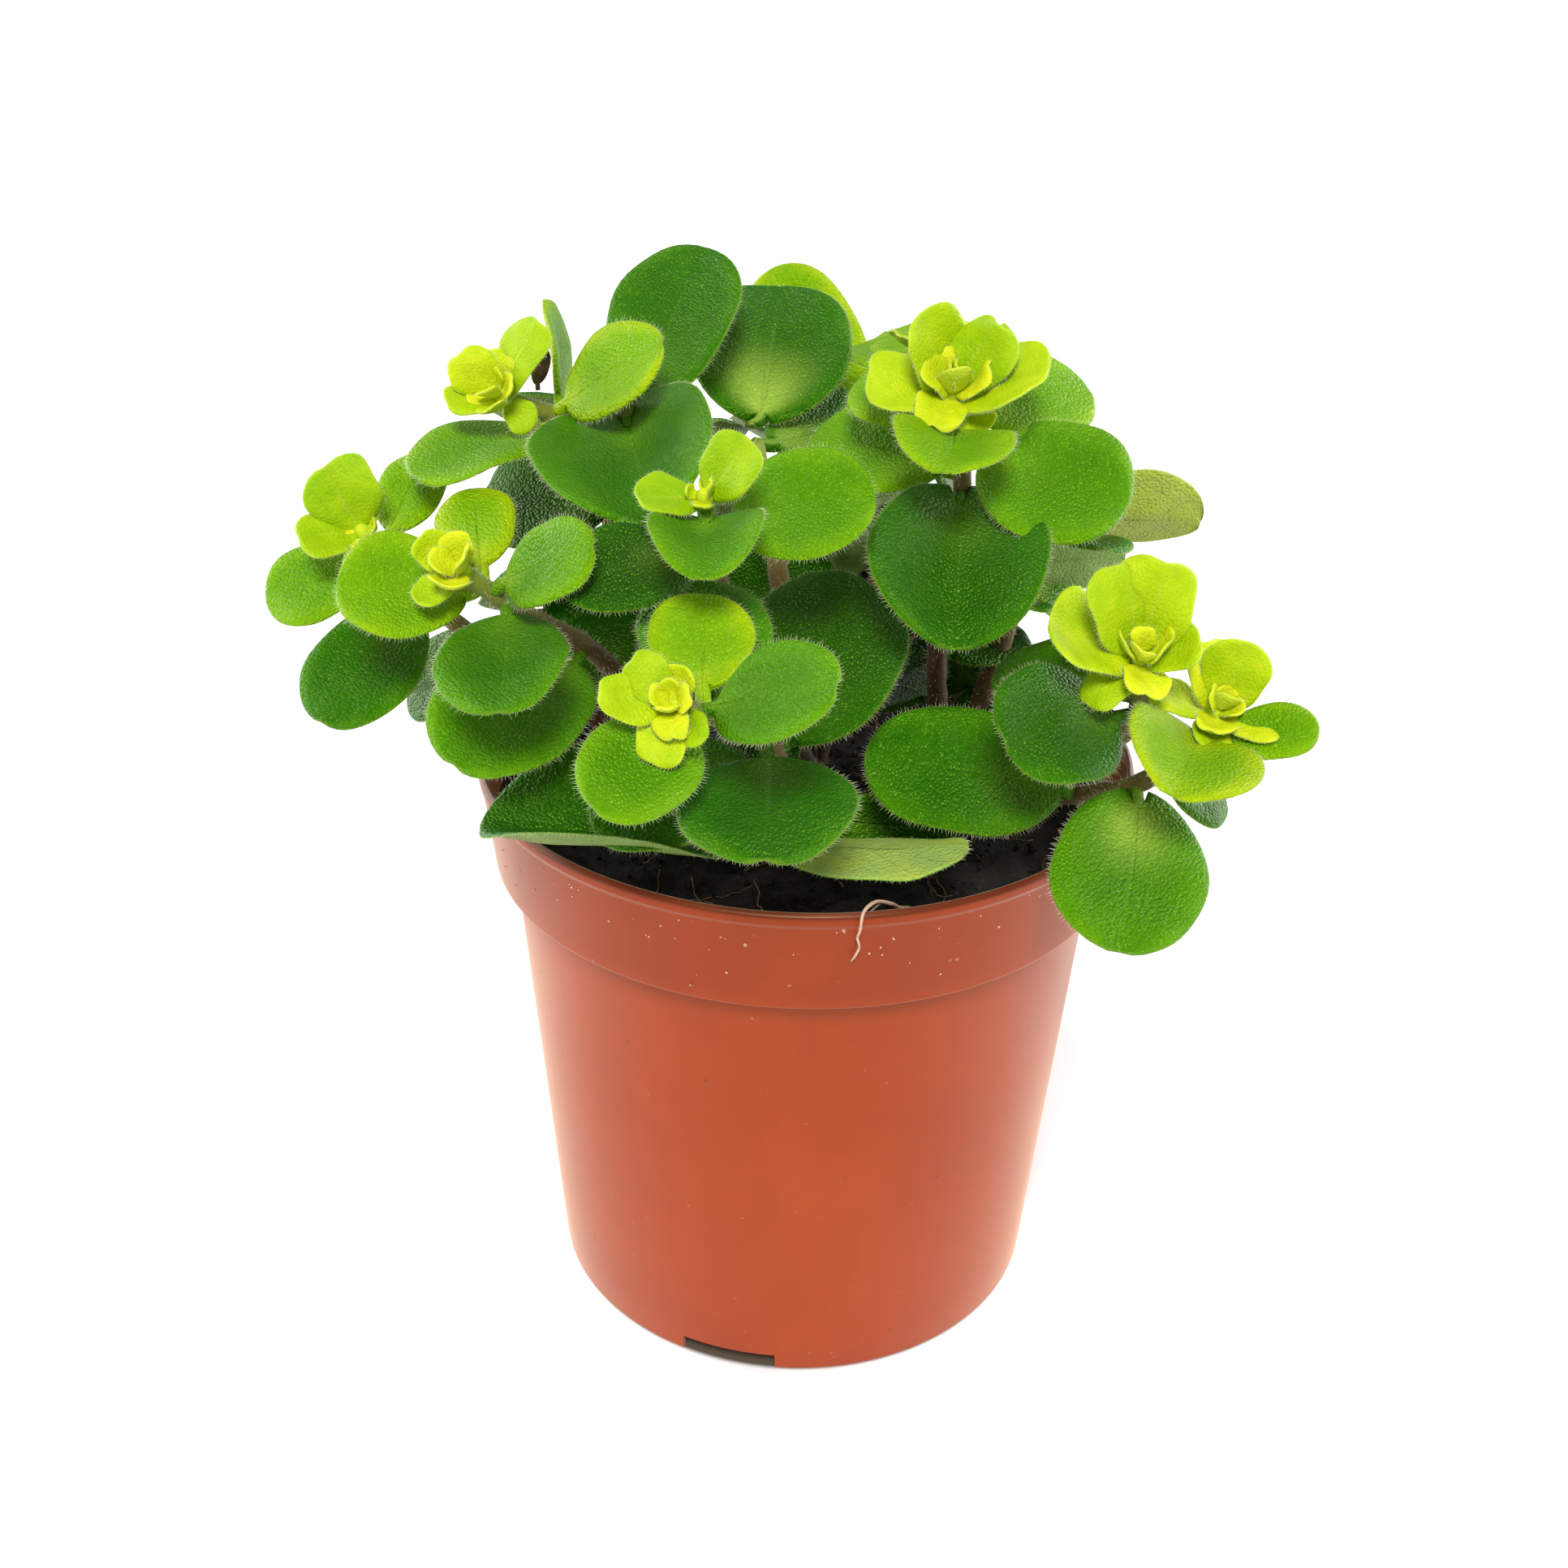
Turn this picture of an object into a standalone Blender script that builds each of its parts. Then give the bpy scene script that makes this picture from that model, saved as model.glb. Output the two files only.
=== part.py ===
"""Potted peperomia: a thin plastic nursery pot, its soil, branching stems, thick round leaves and young leaf tips.

Axes: +Z up, and -Y is the side that the plant's face leaf turns to. The origin is the middle of the pot's foot.
Headings are degrees about +Z from +X, and rises are degrees above level.
"""

import math

import bmesh
import bpy
from mathutils import Matrix, Vector

MM = 0.001

# Pot: a tapered cup with a wider collar, turned in one piece. Its floor stands on a hub in the middle and is lifted
# around it, so that the pot rests on the hub and on its rim foot.
POT_HEIGHT = 82 * MM
RIM_RADIUS = 45 * MM
COLLAR_DEPTH = 14.7 * MM
COLLAR_TAPER = 1.7 * MM
COLLAR_STEP = 2.6 * MM
FOOT_RADIUS = 35.4 * MM
WALL = 1.1 * MM
RIM_BEAD = 0.5 * MM
FLOOR_LIFT = 3.2 * MM
HUB_RADIUS = 11 * MM
POT_STEPS = 44

# Ways out for water: notches in the foot and small holes in the floor.
NOTCH_COUNT = 3
NOTCH_WIDTH = 13.6 * MM
NOTCH_HEIGHT = 2.8 * MM
NOTCH_HEADING = -105
DRAIN_RADIUS = 1.8 * MM
DRAIN_RING = 20 * MM
DRAIN_COUNT = 6

# Soil: a moulded block that fills the cup up to just below the rim.
SOIL_BELOW_RIM = 8 * MM
SOIL_DOME = 2.5 * MM
SOIL_LUMP = 0.7 * MM
PLANTING_DEPTH = 7 * MM

# Two pieces that touch in life are modelled this far apart.
GAP = 0.3 * MM

# Stems.
STEM_RADIUS = 1.5 * MM
STEM_SIDES_RESOLUTION = 2
STEM_POINTS = 9
CROWN_RADIUS = 3.4 * MM
CROWN_HEIGHT = 5 * MM

# Leaves: a blade on a short stalk.
LEAF_THICKNESS = 1.2 * MM
STALK_LENGTH = 2.2 * MM
STALK_WIDTH = 1.8 * MM
LEAF_ROWS = (0.16, 0.37, 0.58, 0.78, 0.94)
BASE_ROUNDNESS = 0.65
TIP_ROUNDNESS = 0.5
LEAF_COLUMNS = 4
LEAF_WIDTH_SHARE = 0.84
LEAF_CUP = 0.16
LEAF_DROOP = 0.05

# Opposite leaves that share a ring round the stem.
RING_WALL = 1.3 * MM
RING_HEIGHT = 1.8 * MM

# Young tips: a bud with two pairs of small leaves.
BUD_RADIUS = 1.5 * MM
BUD_LENGTH = 4 * MM
YOUNG_ROWS = (0.2, 0.5, 0.85)
YOUNG_COLUMNS = 2
YOUNG_THICKNESS = 0.9 * MM
YOUNG_STALK = 1.2 * MM

SHARP_ANGLE = math.radians(40)

POT_COLOUR = (0.62, 0.13, 0.05, 1)
SOIL_COLOUR = (0.012, 0.009, 0.008, 1)
STEM_COLOUR = (0.18, 0.12, 0.05, 1)
LEAF_COLOUR = (0.05, 0.19, 0.015, 1)
YOUNG_COLOUR = (0.36, 0.5, 0.02, 1)


def material(name, colour, roughness):
    made = bpy.data.materials.new(name)
    made.use_nodes = True
    shader = made.node_tree.nodes["Principled BSDF"]
    shader.inputs["Base Color"].default_value = colour
    shader.inputs["Roughness"].default_value = roughness
    shader.inputs["Metallic"].default_value = 0
    return made


def collection(name):
    made = bpy.data.collections.new(name)
    bpy.context.scene.collection.children.link(made)
    return made


def direction(heading, rise):
    """The unit vector at this heading and rise, in degrees."""
    turn, lift = math.radians(heading), math.radians(rise)
    return Vector((math.cos(turn) * math.cos(lift), math.sin(turn) * math.cos(lift), math.sin(lift)))


def add_object(name, mesh, group, finish=None):
    made = bpy.data.objects.new(name, mesh)
    group.objects.link(made)
    if finish:
        mesh.materials.append(finish)
    mesh.shade_smooth()
    if mesh.polygons:
        mesh.set_sharp_from_angle(angle=SHARP_ANGLE)
    return made


def baked(name, source, group, finish=None):
    """A mesh object with source's evaluated shape in world space. The source is removed."""
    graph = bpy.context.evaluated_depsgraph_get()
    mesh = bpy.data.meshes.new_from_object(source.evaluated_get(graph))
    mesh.transform(source.matrix_world)
    mesh.materials.clear()
    shape = bmesh.new()
    shape.from_mesh(mesh)
    bmesh.ops.remove_doubles(shape, verts=shape.verts, dist=0.00001)
    bmesh.ops.recalc_face_normals(shape, faces=shape.faces)
    shape.to_mesh(mesh)
    shape.free()
    bpy.data.objects.remove(source)
    return add_object(name, mesh, group, finish)


def boolean(target, other, operation):
    step = target.modifiers.new(operation.lower(), "BOOLEAN")
    step.operation = operation
    step.solver = "EXACT"
    step.object = other


def as_cutter(obj):
    obj.hide_render = True
    obj.display_type = "WIRE"


def turned(name, profile, group, finish=None, steps=POT_STEPS):
    """A closed profile of (radius, height) points, turned about +Z. A profile whose ends lie on the axis stays open there."""
    mesh = bpy.data.meshes.new(name)
    count = len(profile)
    on_axis = profile[0][0] == 0 and profile[-1][0] == 0
    edges = [(i, i + 1) for i in range(count - 1)]
    if not on_axis:
        edges.append((count - 1, 0))
    mesh.from_pydata([(radius, 0, height) for radius, height in profile], edges, [])
    made = add_object(name, mesh, group, finish)
    screw = made.modifiers.new("turn", "SCREW")
    screw.steps = steps
    screw.render_steps = steps
    screw.use_merge_vertices = True
    screw.merge_threshold = 0.00001
    screw.use_normal_calculate = True
    return made


def body_radius(height, inside=0):
    """The pot body's outer radius at this height, less a distance inwards."""
    collar_foot = POT_HEIGHT - COLLAR_DEPTH
    top = RIM_RADIUS - COLLAR_TAPER - COLLAR_STEP
    return FOOT_RADIUS + (top - FOOT_RADIUS) * height / collar_foot - inside


def pot_profile():
    """Down the outside from the rim, then up the inside."""
    collar_foot = POT_HEIGHT - COLLAR_DEPTH
    collar_radius = RIM_RADIUS - COLLAR_TAPER
    floor_top = FLOOR_LIFT + WALL
    inner_step = collar_foot + WALL
    return [
        (RIM_RADIUS, POT_HEIGHT - RIM_BEAD),
        (RIM_RADIUS - 0.12 * MM, POT_HEIGHT - 2.4 * MM),
        (collar_radius, collar_foot + RIM_BEAD),
        (collar_radius - RIM_BEAD, collar_foot),
        (body_radius(collar_foot), collar_foot),
        (body_radius(FLOOR_LIFT * 2), FLOOR_LIFT * 2),
        (body_radius(0), 0.4 * MM),
        (body_radius(0, 0.4 * MM), 0),
        (body_radius(0, WALL), 0),
        (body_radius(FLOOR_LIFT, WALL), FLOOR_LIFT),
        (HUB_RADIUS + FLOOR_LIFT, FLOOR_LIFT),
        (HUB_RADIUS, 0),
        (0, 0),
        (0, WALL),
        (HUB_RADIUS - WALL / 2, WALL),
        (HUB_RADIUS - WALL / 2 + FLOOR_LIFT, floor_top),
        (body_radius(floor_top, 2 * WALL), floor_top),
        (body_radius(floor_top, WALL), floor_top + WALL),
        (body_radius(inner_step, WALL), inner_step),
        (collar_radius - WALL, inner_step + COLLAR_STEP / 2),
        (RIM_RADIUS - WALL, POT_HEIGHT - RIM_BEAD),
        (RIM_RADIUS - WALL / 2, POT_HEIGHT),
    ]


def make_pot(group, cutters, finish):
    pot = turned("pot", pot_profile(), group, finish)
    for number in range(NOTCH_COUNT):
        heading = NOTCH_HEADING + number * 360 / NOTCH_COUNT
        bpy.ops.mesh.primitive_cube_add(size=1)
        notch = bpy.context.object
        notch.name = f"notch_cutter_{number}"
        notch.scale = (6 * WALL, NOTCH_WIDTH, 2 * NOTCH_HEIGHT)
        notch.rotation_euler = (0, 0, math.radians(heading))
        notch.location = direction(heading, 0) * body_radius(0, WALL / 2)
        bpy.context.view_layer.update()
        cutter = baked(notch.name, notch, cutters)
        as_cutter(cutter)
        boolean(pot, cutter, "DIFFERENCE")
    for number in range(DRAIN_COUNT):
        spot = direction(number * 360 / DRAIN_COUNT, 0) * DRAIN_RING
        bpy.ops.mesh.primitive_cylinder_add(
            vertices=12, radius=DRAIN_RADIUS, depth=4 * WALL, location=spot + Vector((0, 0, FLOOR_LIFT + WALL / 2))
        )
        hole = baked(f"drain_cutter_{number}", bpy.context.object, cutters)
        as_cutter(hole)
        boolean(pot, hole, "DIFFERENCE")
    return pot


def soil_height(x, y):
    """The soil's surface: a low dome with shallow lumps."""
    reach = (x * x + y * y) ** 0.5 / RIM_RADIUS
    lumps = math.sin(x / (5 * MM) + 1) * math.sin(y / (6 * MM)) + 0.5 * math.sin((x - y) / (3 * MM))
    return POT_HEIGHT - SOIL_BELOW_RIM + SOIL_DOME * (1 - reach * reach) + SOIL_LUMP * lumps


def make_soil(group, cutters, finish, crowns):
    floor_top = FLOOR_LIFT + WALL
    inset = WALL + GAP
    inner_step = POT_HEIGHT - COLLAR_DEPTH + WALL
    edge = POT_HEIGHT - SOIL_BELOW_RIM
    collar_share = (edge - inner_step) / (COLLAR_DEPTH - WALL)
    top_radius = RIM_RADIUS - COLLAR_TAPER * (1 - collar_share) - inset
    rings = [top_radius * share for share in (0.93, 0.75, 0.55, 0.35, 0.17)]
    profile = [(0, edge)]
    profile += [(ring, edge) for ring in reversed(rings)]
    profile += [
        (top_radius, edge),
        (RIM_RADIUS - COLLAR_TAPER - inset, inner_step + COLLAR_STEP / 2 + GAP),
        (body_radius(inner_step, inset), inner_step + GAP),
        (body_radius(floor_top, inset), floor_top + WALL + 2 * GAP),
        (body_radius(floor_top, 2 * WALL + GAP), floor_top + GAP),
        (HUB_RADIUS - WALL / 2 + FLOOR_LIFT, floor_top + GAP),
        (HUB_RADIUS - WALL / 2, WALL + GAP),
        (0, WALL + GAP),
    ]
    blank = turned("soil_blank", profile, group, steps=36)
    soil = baked("soil", blank, group, finish)
    rim_inner = top_radius * 0.95
    for vertex in soil.data.vertices:
        spot = vertex.co
        if abs(spot.z - edge) < 0.01 * MM and spot.xy.length < rim_inner:
            spot.z = soil_height(spot.x, spot.y)
    for name, crown in crowns.items():
        bpy.ops.mesh.primitive_cylinder_add(
            vertices=12,
            radius=CROWN_RADIUS + GAP,
            depth=3 * PLANTING_DEPTH,
            location=(crown.x, crown.y, crown.z - PLANTING_DEPTH - GAP + 1.5 * PLANTING_DEPTH),
        )
        hole = baked(f"planting_cutter_{name}", bpy.context.object, cutters)
        as_cutter(hole)
        boolean(soil, hole, "DIFFERENCE")
    return soil


def smooth_path(points, count=STEM_POINTS):
    """Points evenly spaced along one smooth curve through the given points."""
    ends = [points[0] * 2 - points[1], *points, points[-1] * 2 - points[-2]]
    fine = []
    for before, start, stop, after in zip(ends, ends[1:], ends[2:], ends[3:]):
        for step in range(12):
            t = step / 12
            fine.append(
                0.5
                * (
                    2 * start
                    + (stop - before) * t
                    + (2 * before - 5 * start + 4 * stop - after) * t * t
                    + (3 * start - before - 3 * stop + after) * t * t * t
                )
            )
    fine.append(points[-1].copy())
    lengths = [0]
    for one, two in zip(fine, fine[1:]):
        lengths.append(lengths[-1] + (two - one).length)
    return [along(fine, lengths, lengths[-1] * k / (count - 1)) for k in range(count)]


def along(points, lengths, distance):
    for one, two, near, far in zip(points, points[1:], lengths, lengths[1:]):
        if distance <= far + 1e-9:
            return one.lerp(two, min(1, max(0, (distance - near) / max(far - near, 1e-9))))
    return points[-1].copy()


def at_share(path, share):
    """(point, tangent) at this share of an evenly spaced path."""
    spot = share * (len(path) - 1)
    start = min(int(spot), len(path) - 2)
    return path[start].lerp(path[start + 1], spot - start), (path[start + 1] - path[start]).normalized()


def tube(name, path, group):
    """A round tube along the path, as a mesh."""
    curve = bpy.data.curves.new(name, "CURVE")
    curve.dimensions = "3D"
    curve.bevel_depth = STEM_RADIUS
    curve.bevel_resolution = STEM_SIDES_RESOLUTION
    curve.use_fill_caps = True
    spline = curve.splines.new("POLY")
    spline.points.add(len(path) - 1)
    for point, spot in zip(spline.points, path):
        point.co = (*spot, 1)
    made = bpy.data.objects.new(name, curve)
    group.objects.link(made)
    bpy.context.view_layer.update()
    return baked(name, made, group)


def make_stems(name, crown, paths, group, cutters, finish):
    """The branches that rise from one root crown, joined into one piece."""
    bpy.ops.mesh.primitive_cone_add(
        vertices=12,
        radius1=CROWN_RADIUS,
        radius2=CROWN_RADIUS * 0.8,
        depth=PLANTING_DEPTH + CROWN_HEIGHT,
        location=crown + Vector((0, 0, (CROWN_HEIGHT - PLANTING_DEPTH) / 2)),
    )
    stems = baked(name, bpy.context.object, group, finish)
    for number, path in enumerate(paths):
        branch = tube(f"branch_{name}_{number}", path, cutters)
        as_cutter(branch)
        boolean(stems, branch, "UNION")
    return stems


def outline(share):
    """A blade's half width at this share of its length, as a share of its greatest half width."""
    widest = BASE_ROUNDNESS / (BASE_ROUNDNESS + TIP_ROUNDNESS)
    greatest = widest**BASE_ROUNDNESS * (1 - widest) ** TIP_ROUNDNESS
    return share**BASE_ROUNDNESS * (1 - share) ** TIP_ROUNDNESS / greatest


def leaf_mesh(name, length, width, rows, columns, stalk, cup, droop):
    """A blade in its own axes: +X from stalk to tip, +Z out of its upper face."""
    shape = bmesh.new()
    bmesh.ops.create_grid(shape, x_segments=len(rows) + 1, y_segments=columns, size=1)
    stations = [(0, STALK_WIDTH / 2), (stalk, STALK_WIDTH / 2)]
    for row in rows:
        share = (1 - math.cos(math.pi * row)) / 2
        stations.append((stalk + (length - stalk) * share, outline(share) * width / 2))
    for vertex in shape.verts:
        row = round((vertex.co.x + 1) / 2 * (len(stations) - 1))
        reach, half = stations[row]
        across = vertex.co.y * half
        bowl = cup * across * across / (width / 2)
        vertex.co = (reach, across, bowl - droop * reach * reach / length)
    mesh = bpy.data.meshes.new(name)
    shape.to_mesh(mesh)
    shape.free()
    return mesh


def facing(point, along_leaf, light, roll):
    """The matrix that sets a leaf's +X along along_leaf and turns its upper face to the light."""
    upper = (light - along_leaf * light.dot(along_leaf)).normalized()
    upper = Matrix.Rotation(math.radians(roll), 3, along_leaf) @ upper
    side = upper.cross(along_leaf)
    return Matrix.Translation(point) @ Matrix((along_leaf, side, upper)).transposed().to_4x4()


def thicken(obj, thickness):
    shell = obj.modifiers.new("thickness", "SOLIDIFY")
    shell.thickness = thickness
    shell.offset = 0


def make_leaf(name, path, row, light, group, finish):
    """One grown leaf on its stem. row is what leaf() gives."""
    node, tangent = at_share(path, row["at"])
    out = direction(row["heading"], row["rise"])
    slant = max(0.5, (1 - out.dot(tangent) ** 2) ** 0.5)
    reach = (STEM_RADIUS + LEAF_THICKNESS / 2 + GAP) / slant
    length = row["length"] * MM
    mesh = leaf_mesh(
        name, length, length * row["width"], LEAF_ROWS, LEAF_COLUMNS, STALK_LENGTH, row["cup"], LEAF_DROOP
    )
    leaf = add_object(name, mesh, group, finish)
    leaf.matrix_world = facing(node + out * reach, out, light, row["roll"])
    thicken(leaf, LEAF_THICKNESS)
    return leaf


def make_pair(name, path, row, group, cutters, finish):
    """Two opposite leaves whose stalks meet in a ring round the stem, in one piece. row is what pair() gives."""
    node, axis = at_share(path, row["at"])
    level = direction(row["heading"], 0)
    side = (level - axis * level.dot(axis)).normalized()
    spot = Matrix.Translation(node) @ axis.to_track_quat("Z", "Y").to_matrix().to_4x4()
    inner = STEM_RADIUS + GAP
    ring = [
        (inner + RING_WALL, RING_HEIGHT / 3),
        (inner + RING_WALL, -RING_HEIGHT / 3),
        (inner + RING_WALL / 2, -RING_HEIGHT / 2),
        (inner, -RING_HEIGHT / 2),
        (inner, RING_HEIGHT / 2),
        (inner + RING_WALL / 2, RING_HEIGHT / 2),
    ]
    blank = turned(f"ring_{name}", ring, cutters, steps=12)
    blank.matrix_world = spot
    bpy.context.view_layer.update()
    pair = baked(name, blank, group, finish)
    rise = math.radians(row["rise"])
    for half in range(2):
        out = (side * math.cos(math.pi * half)) * math.cos(rise) + axis * math.sin(rise)
        reach = (STEM_RADIUS + LEAF_THICKNESS / 2 + GAP) / math.cos(rise)
        length = row["length"] * MM
        mesh = leaf_mesh(name, length, length * row["width"], LEAF_ROWS, LEAF_COLUMNS, STALK_LENGTH, LEAF_CUP, LEAF_DROOP)
        blade = add_object(f"blade_{name}_{half}", mesh, cutters)
        blade.matrix_world = facing(node + out * reach, out, axis, 0)
        thicken(blade, LEAF_THICKNESS)
        bpy.context.view_layer.update()
        joined = baked(blade.name, blade, cutters)
        as_cutter(joined)
        boolean(pair, joined, "UNION")
    return pair


def make_tip(name, path, size, heading, open_rise, group, cutters, finish):
    """A bud on the stem's end with two crossed pairs of young leaves, joined into one piece."""
    end, axis = at_share(path, 1)
    level = direction(heading, 0)
    side = (level - axis * level.dot(axis)).normalized()
    start = end + axis * GAP
    bpy.ops.mesh.primitive_cone_add(vertices=8, radius1=BUD_RADIUS, radius2=BUD_RADIUS / 3, depth=BUD_LENGTH)
    bud = bpy.context.object
    bud.matrix_world = Matrix.Translation(start + axis * BUD_LENGTH / 2) @ axis.to_track_quat("Z", "Y").to_matrix().to_4x4()
    bpy.context.view_layer.update()
    tip = baked(name, bud, group, finish)
    for pair, (share, rise) in enumerate(((1, open_rise), (0.7, open_rise + 22))):
        for half in range(2):
            spin = Matrix.Rotation(math.radians(90 * pair + 180 * half), 3, axis)
            out = (spin @ side) * math.cos(math.radians(rise)) + axis * math.sin(math.radians(rise))
            length = size * share * MM
            mesh = leaf_mesh(
                name, length, length * LEAF_WIDTH_SHARE, YOUNG_ROWS, YOUNG_COLUMNS, YOUNG_STALK, LEAF_CUP, 0
            )
            young = add_object(f"young_{name}_{pair}_{half}", mesh, cutters)
            young.matrix_world = facing(start + axis * BUD_LENGTH * (0.3 + 0.35 * pair), out, axis, 0)
            thicken(young, YOUNG_THICKNESS)
            bpy.context.view_layer.update()
            joined = baked(young.name, young, cutters)
            as_cutter(joined)
            boolean(tip, joined, "UNION")
    return tip


def leaf(at, heading, rise, length, width=LEAF_WIDTH_SHARE, roll=0, cup=LEAF_CUP):
    """at is the share of the stem where the leaf grows. Angles are degrees, the length is mm, and width is a share of it."""
    return dict(at=at, heading=heading, rise=rise, length=length, width=width, roll=roll, cup=cup)


def pair(at, heading, rise, length, width=LEAF_WIDTH_SHARE):
    """As leaf, for two opposite leaves: heading is the first one's, and rise is measured from square to the stem."""
    return dict(at=at, heading=heading, rise=rise, length=length, width=width)


# Three rooted cuttings share the pot: where each crown stands in the soil, in mm.
CROWNS = {
    "left": (-18, -2),
    "middle": (1, -4),
    "right": (19, -4),
}

# The rim height that the shoots' points are given for. They rise or sink with the pot's own rim.
POINTS_RIM_HEIGHT = 82 * MM

FRONT_LIGHT = direction(-90, 50)
TOP_LIGHT = direction(-90, 80)

# Each shoot: its crown, the points in mm that its stem passes through, the way its leaves face, its tip (leaf length
# in mm, heading of the outer pair and rise in degrees) or None where it has no open tip, and its leaves.
SHOOTS = {
    "upper_left": dict(
        crown="left",
        path=[(-23, 10, 98), (-28, 11, 118), (-33, 7, 125), (-40, 3, 129)],
        light=FRONT_LIGHT,
        tip=(9, 70, 35),
        leaves=[
            leaf(0.9, -20, 36, 17, 0.7),
            leaf(0.86, -140, -4, 20, 0.72, roll=28),
            leaf(0.88, 92, 50, 14, 0.7, roll=80),
        ],
    ),
    "broken": dict(
        crown="left",
        path=[(-20, 5, 98), (-25, 7, 129)],
        light=FRONT_LIGHT,
        tip=None,
        leaves=[leaf(0.94, -80, -10, 24, 1.0, roll=10, cup=0.45), leaf(0.92, 78, 40, 25)],
    ),
    "top": dict(
        crown="middle",
        path=[(-3, 4, 98), (-7, 11, 118), (-10, 17, 128)],
        light=FRONT_LIGHT,
        tip=None,
        leaves=[leaf(0.84, 82, 36, 25, 0.9), leaf(0.84, 40, 3, 21, 0.8)],
    ),
    "left_outer": dict(
        crown="left",
        path=[(-36, -4, 92), (-49, -6, 104), (-57, -7, 114)],
        light=FRONT_LIGHT,
        tip=(11, 150, 25),
        leaves=[leaf(0.95, 65, 40, 13, 0.65), leaf(0.92, -165, -12, 14, 0.8), leaf(0.82, -120, -26, 20, 0.68)],
    ),
    "left_front": dict(
        crown="left",
        path=[(-26, -14, 100), (-35, -20, 109), (-42, -24, 116)],
        light=FRONT_LIGHT,
        tip=(8, 0, 30),
        leaves=[
            leaf(0.94, 100, 30, 14, 0.68),
            leaf(0.88, -172, 8, 16, 0.85),
            leaf(0.92, -30, 32, 15, 0.72),
            leaf(0.86, -85, -6, 20, 0.78),
            leaf(0.62, -122, -11, 23, 0.75),
        ],
    ),
    "centre_front": dict(
        crown="middle",
        path=[(-8, -14, 98), (-12, -18, 116), (-13, -22, 125)],
        light=FRONT_LIGHT,
        tip=(10.5, 45, 35),
        leaves=[
            leaf(0.92, 2, 15, 18, 0.82),
            leaf(0.85, -148, 0, 18, 0.65),
            leaf(0.95, -90, -2, 13, 0.95, cup=0.5),
        ],
    ),
    "front": dict(
        crown="middle",
        path=[(-2, -24, 88), (-5, -31, 98), (-9, -36, 103), (-15, -43, 108)],
        light=FRONT_LIGHT,
        tip=(7.5, 20, 35),
        leaves=[
            leaf(0.93, 90, 38, 13, 0.92),
            leaf(0.85, 108, 36, 18, 0.85),
            leaf(0.94, -38, 26, 18, 0.68),
            leaf(0.88, -130, -8, 17, 0.75),
            leaf(0.61, -155, -4, 22, 0.6),
            leaf(0.68, -88, -1, 21, 0.95),
            leaf(0.62, 65, 38, 26, 0.75),
        ],
    ),
    "low_front": dict(
        crown="middle",
        path=[(0, -16, 81), (-4, -26, 83), (-7, -35, 84)],
        light=TOP_LIGHT,
        tip=None,
        leaves=[leaf(0.97, 180, 8, 31, 0.55, cup=0.3), leaf(0.95, -5, 2, 24, 0.62, roll=160)],
    ),
    "upper_right": dict(
        crown="right",
        path=[(17, -3, 98), (19, -3, 120), (17, -2, 132)],
        light=FRONT_LIGHT,
        tip=(12, 15, 25),
        leaves=[
            leaf(0.96, 25, 5, 18, 0.7),
            leaf(0.95, 145, 8, 13, 0.8),
            leaf(0.94, -97, 0, 15, 0.95, cup=0.5),
            leaf(0.88, -28, -8, 20, 0.88),
            leaf(0.83, 148, 6, 20, 0.78),
            leaf(0.81, -92, -27, 24, 0.88, cup=0.3),
        ],
    ),
    "right_front": dict(
        crown="right",
        path=[(30, -13, 86), (40, -22, 96), (40, -23, 106)],
        light=FRONT_LIGHT,
        tip=(11, 5, 35),
        leaves=[leaf(0.84, -145, 8, 19, 0.85)],
    ),
    "right_outer": dict(
        crown="right",
        path=[(30, -17, 84), (40, -26, 90), (48, -24, 95), (50, -23, 99)],
        light=FRONT_LIGHT,
        tip=(9, 20, 35),
        leaves=[
            leaf(0.95, -110, 3, 17, 0.95, cup=0.45),
            leaf(0.93, -20, 15, 12, 0.6),
            leaf(0.76, -100, -26, 22, 0.95),
            leaf(0.63, 178, 9, 26, 0.65),
        ],
    ),
    "right_back": dict(
        crown="right",
        path=[(25, 2, 92), (29, 7, 106), (30, 9, 117)],
        light=TOP_LIGHT,
        tip=None,
        leaves=[leaf(0.93, 5, -3, 21, 0.75, roll=-65)],
        pairs=[pair(0.86, 110, 8, 17), pair(0.66, 80, 5, 18)],
    ),
    "back_right": dict(
        crown="middle",
        path=[(8, 10, 98), (16, 19, 118), (18, 22, 130)],
        light=TOP_LIGHT,
        tip=None,
        leaves=[leaf(0.96, 140, 10, 14, 0.8)],
    ),
    "back": dict(
        crown="middle",
        path=[(4, 14, 92), (6, 28, 104), (7, 33, 114)],
        light=TOP_LIGHT,
        tip=None,
        leaves=[],
        pairs=[pair(0.92, 170, 20, 18), pair(0.72, 40, 10, 20)],
    ),
    "back_left": dict(
        crown="left",
        path=[(-22, 12, 92), (-29, 24, 106), (-31, 30, 118)],
        light=TOP_LIGHT,
        tip=None,
        leaves=[],
        pairs=[pair(0.94, 60, 20, 17), pair(0.78, 150, 15, 22), pair(0.58, 60, 5, 23)],
    ),
}


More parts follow.
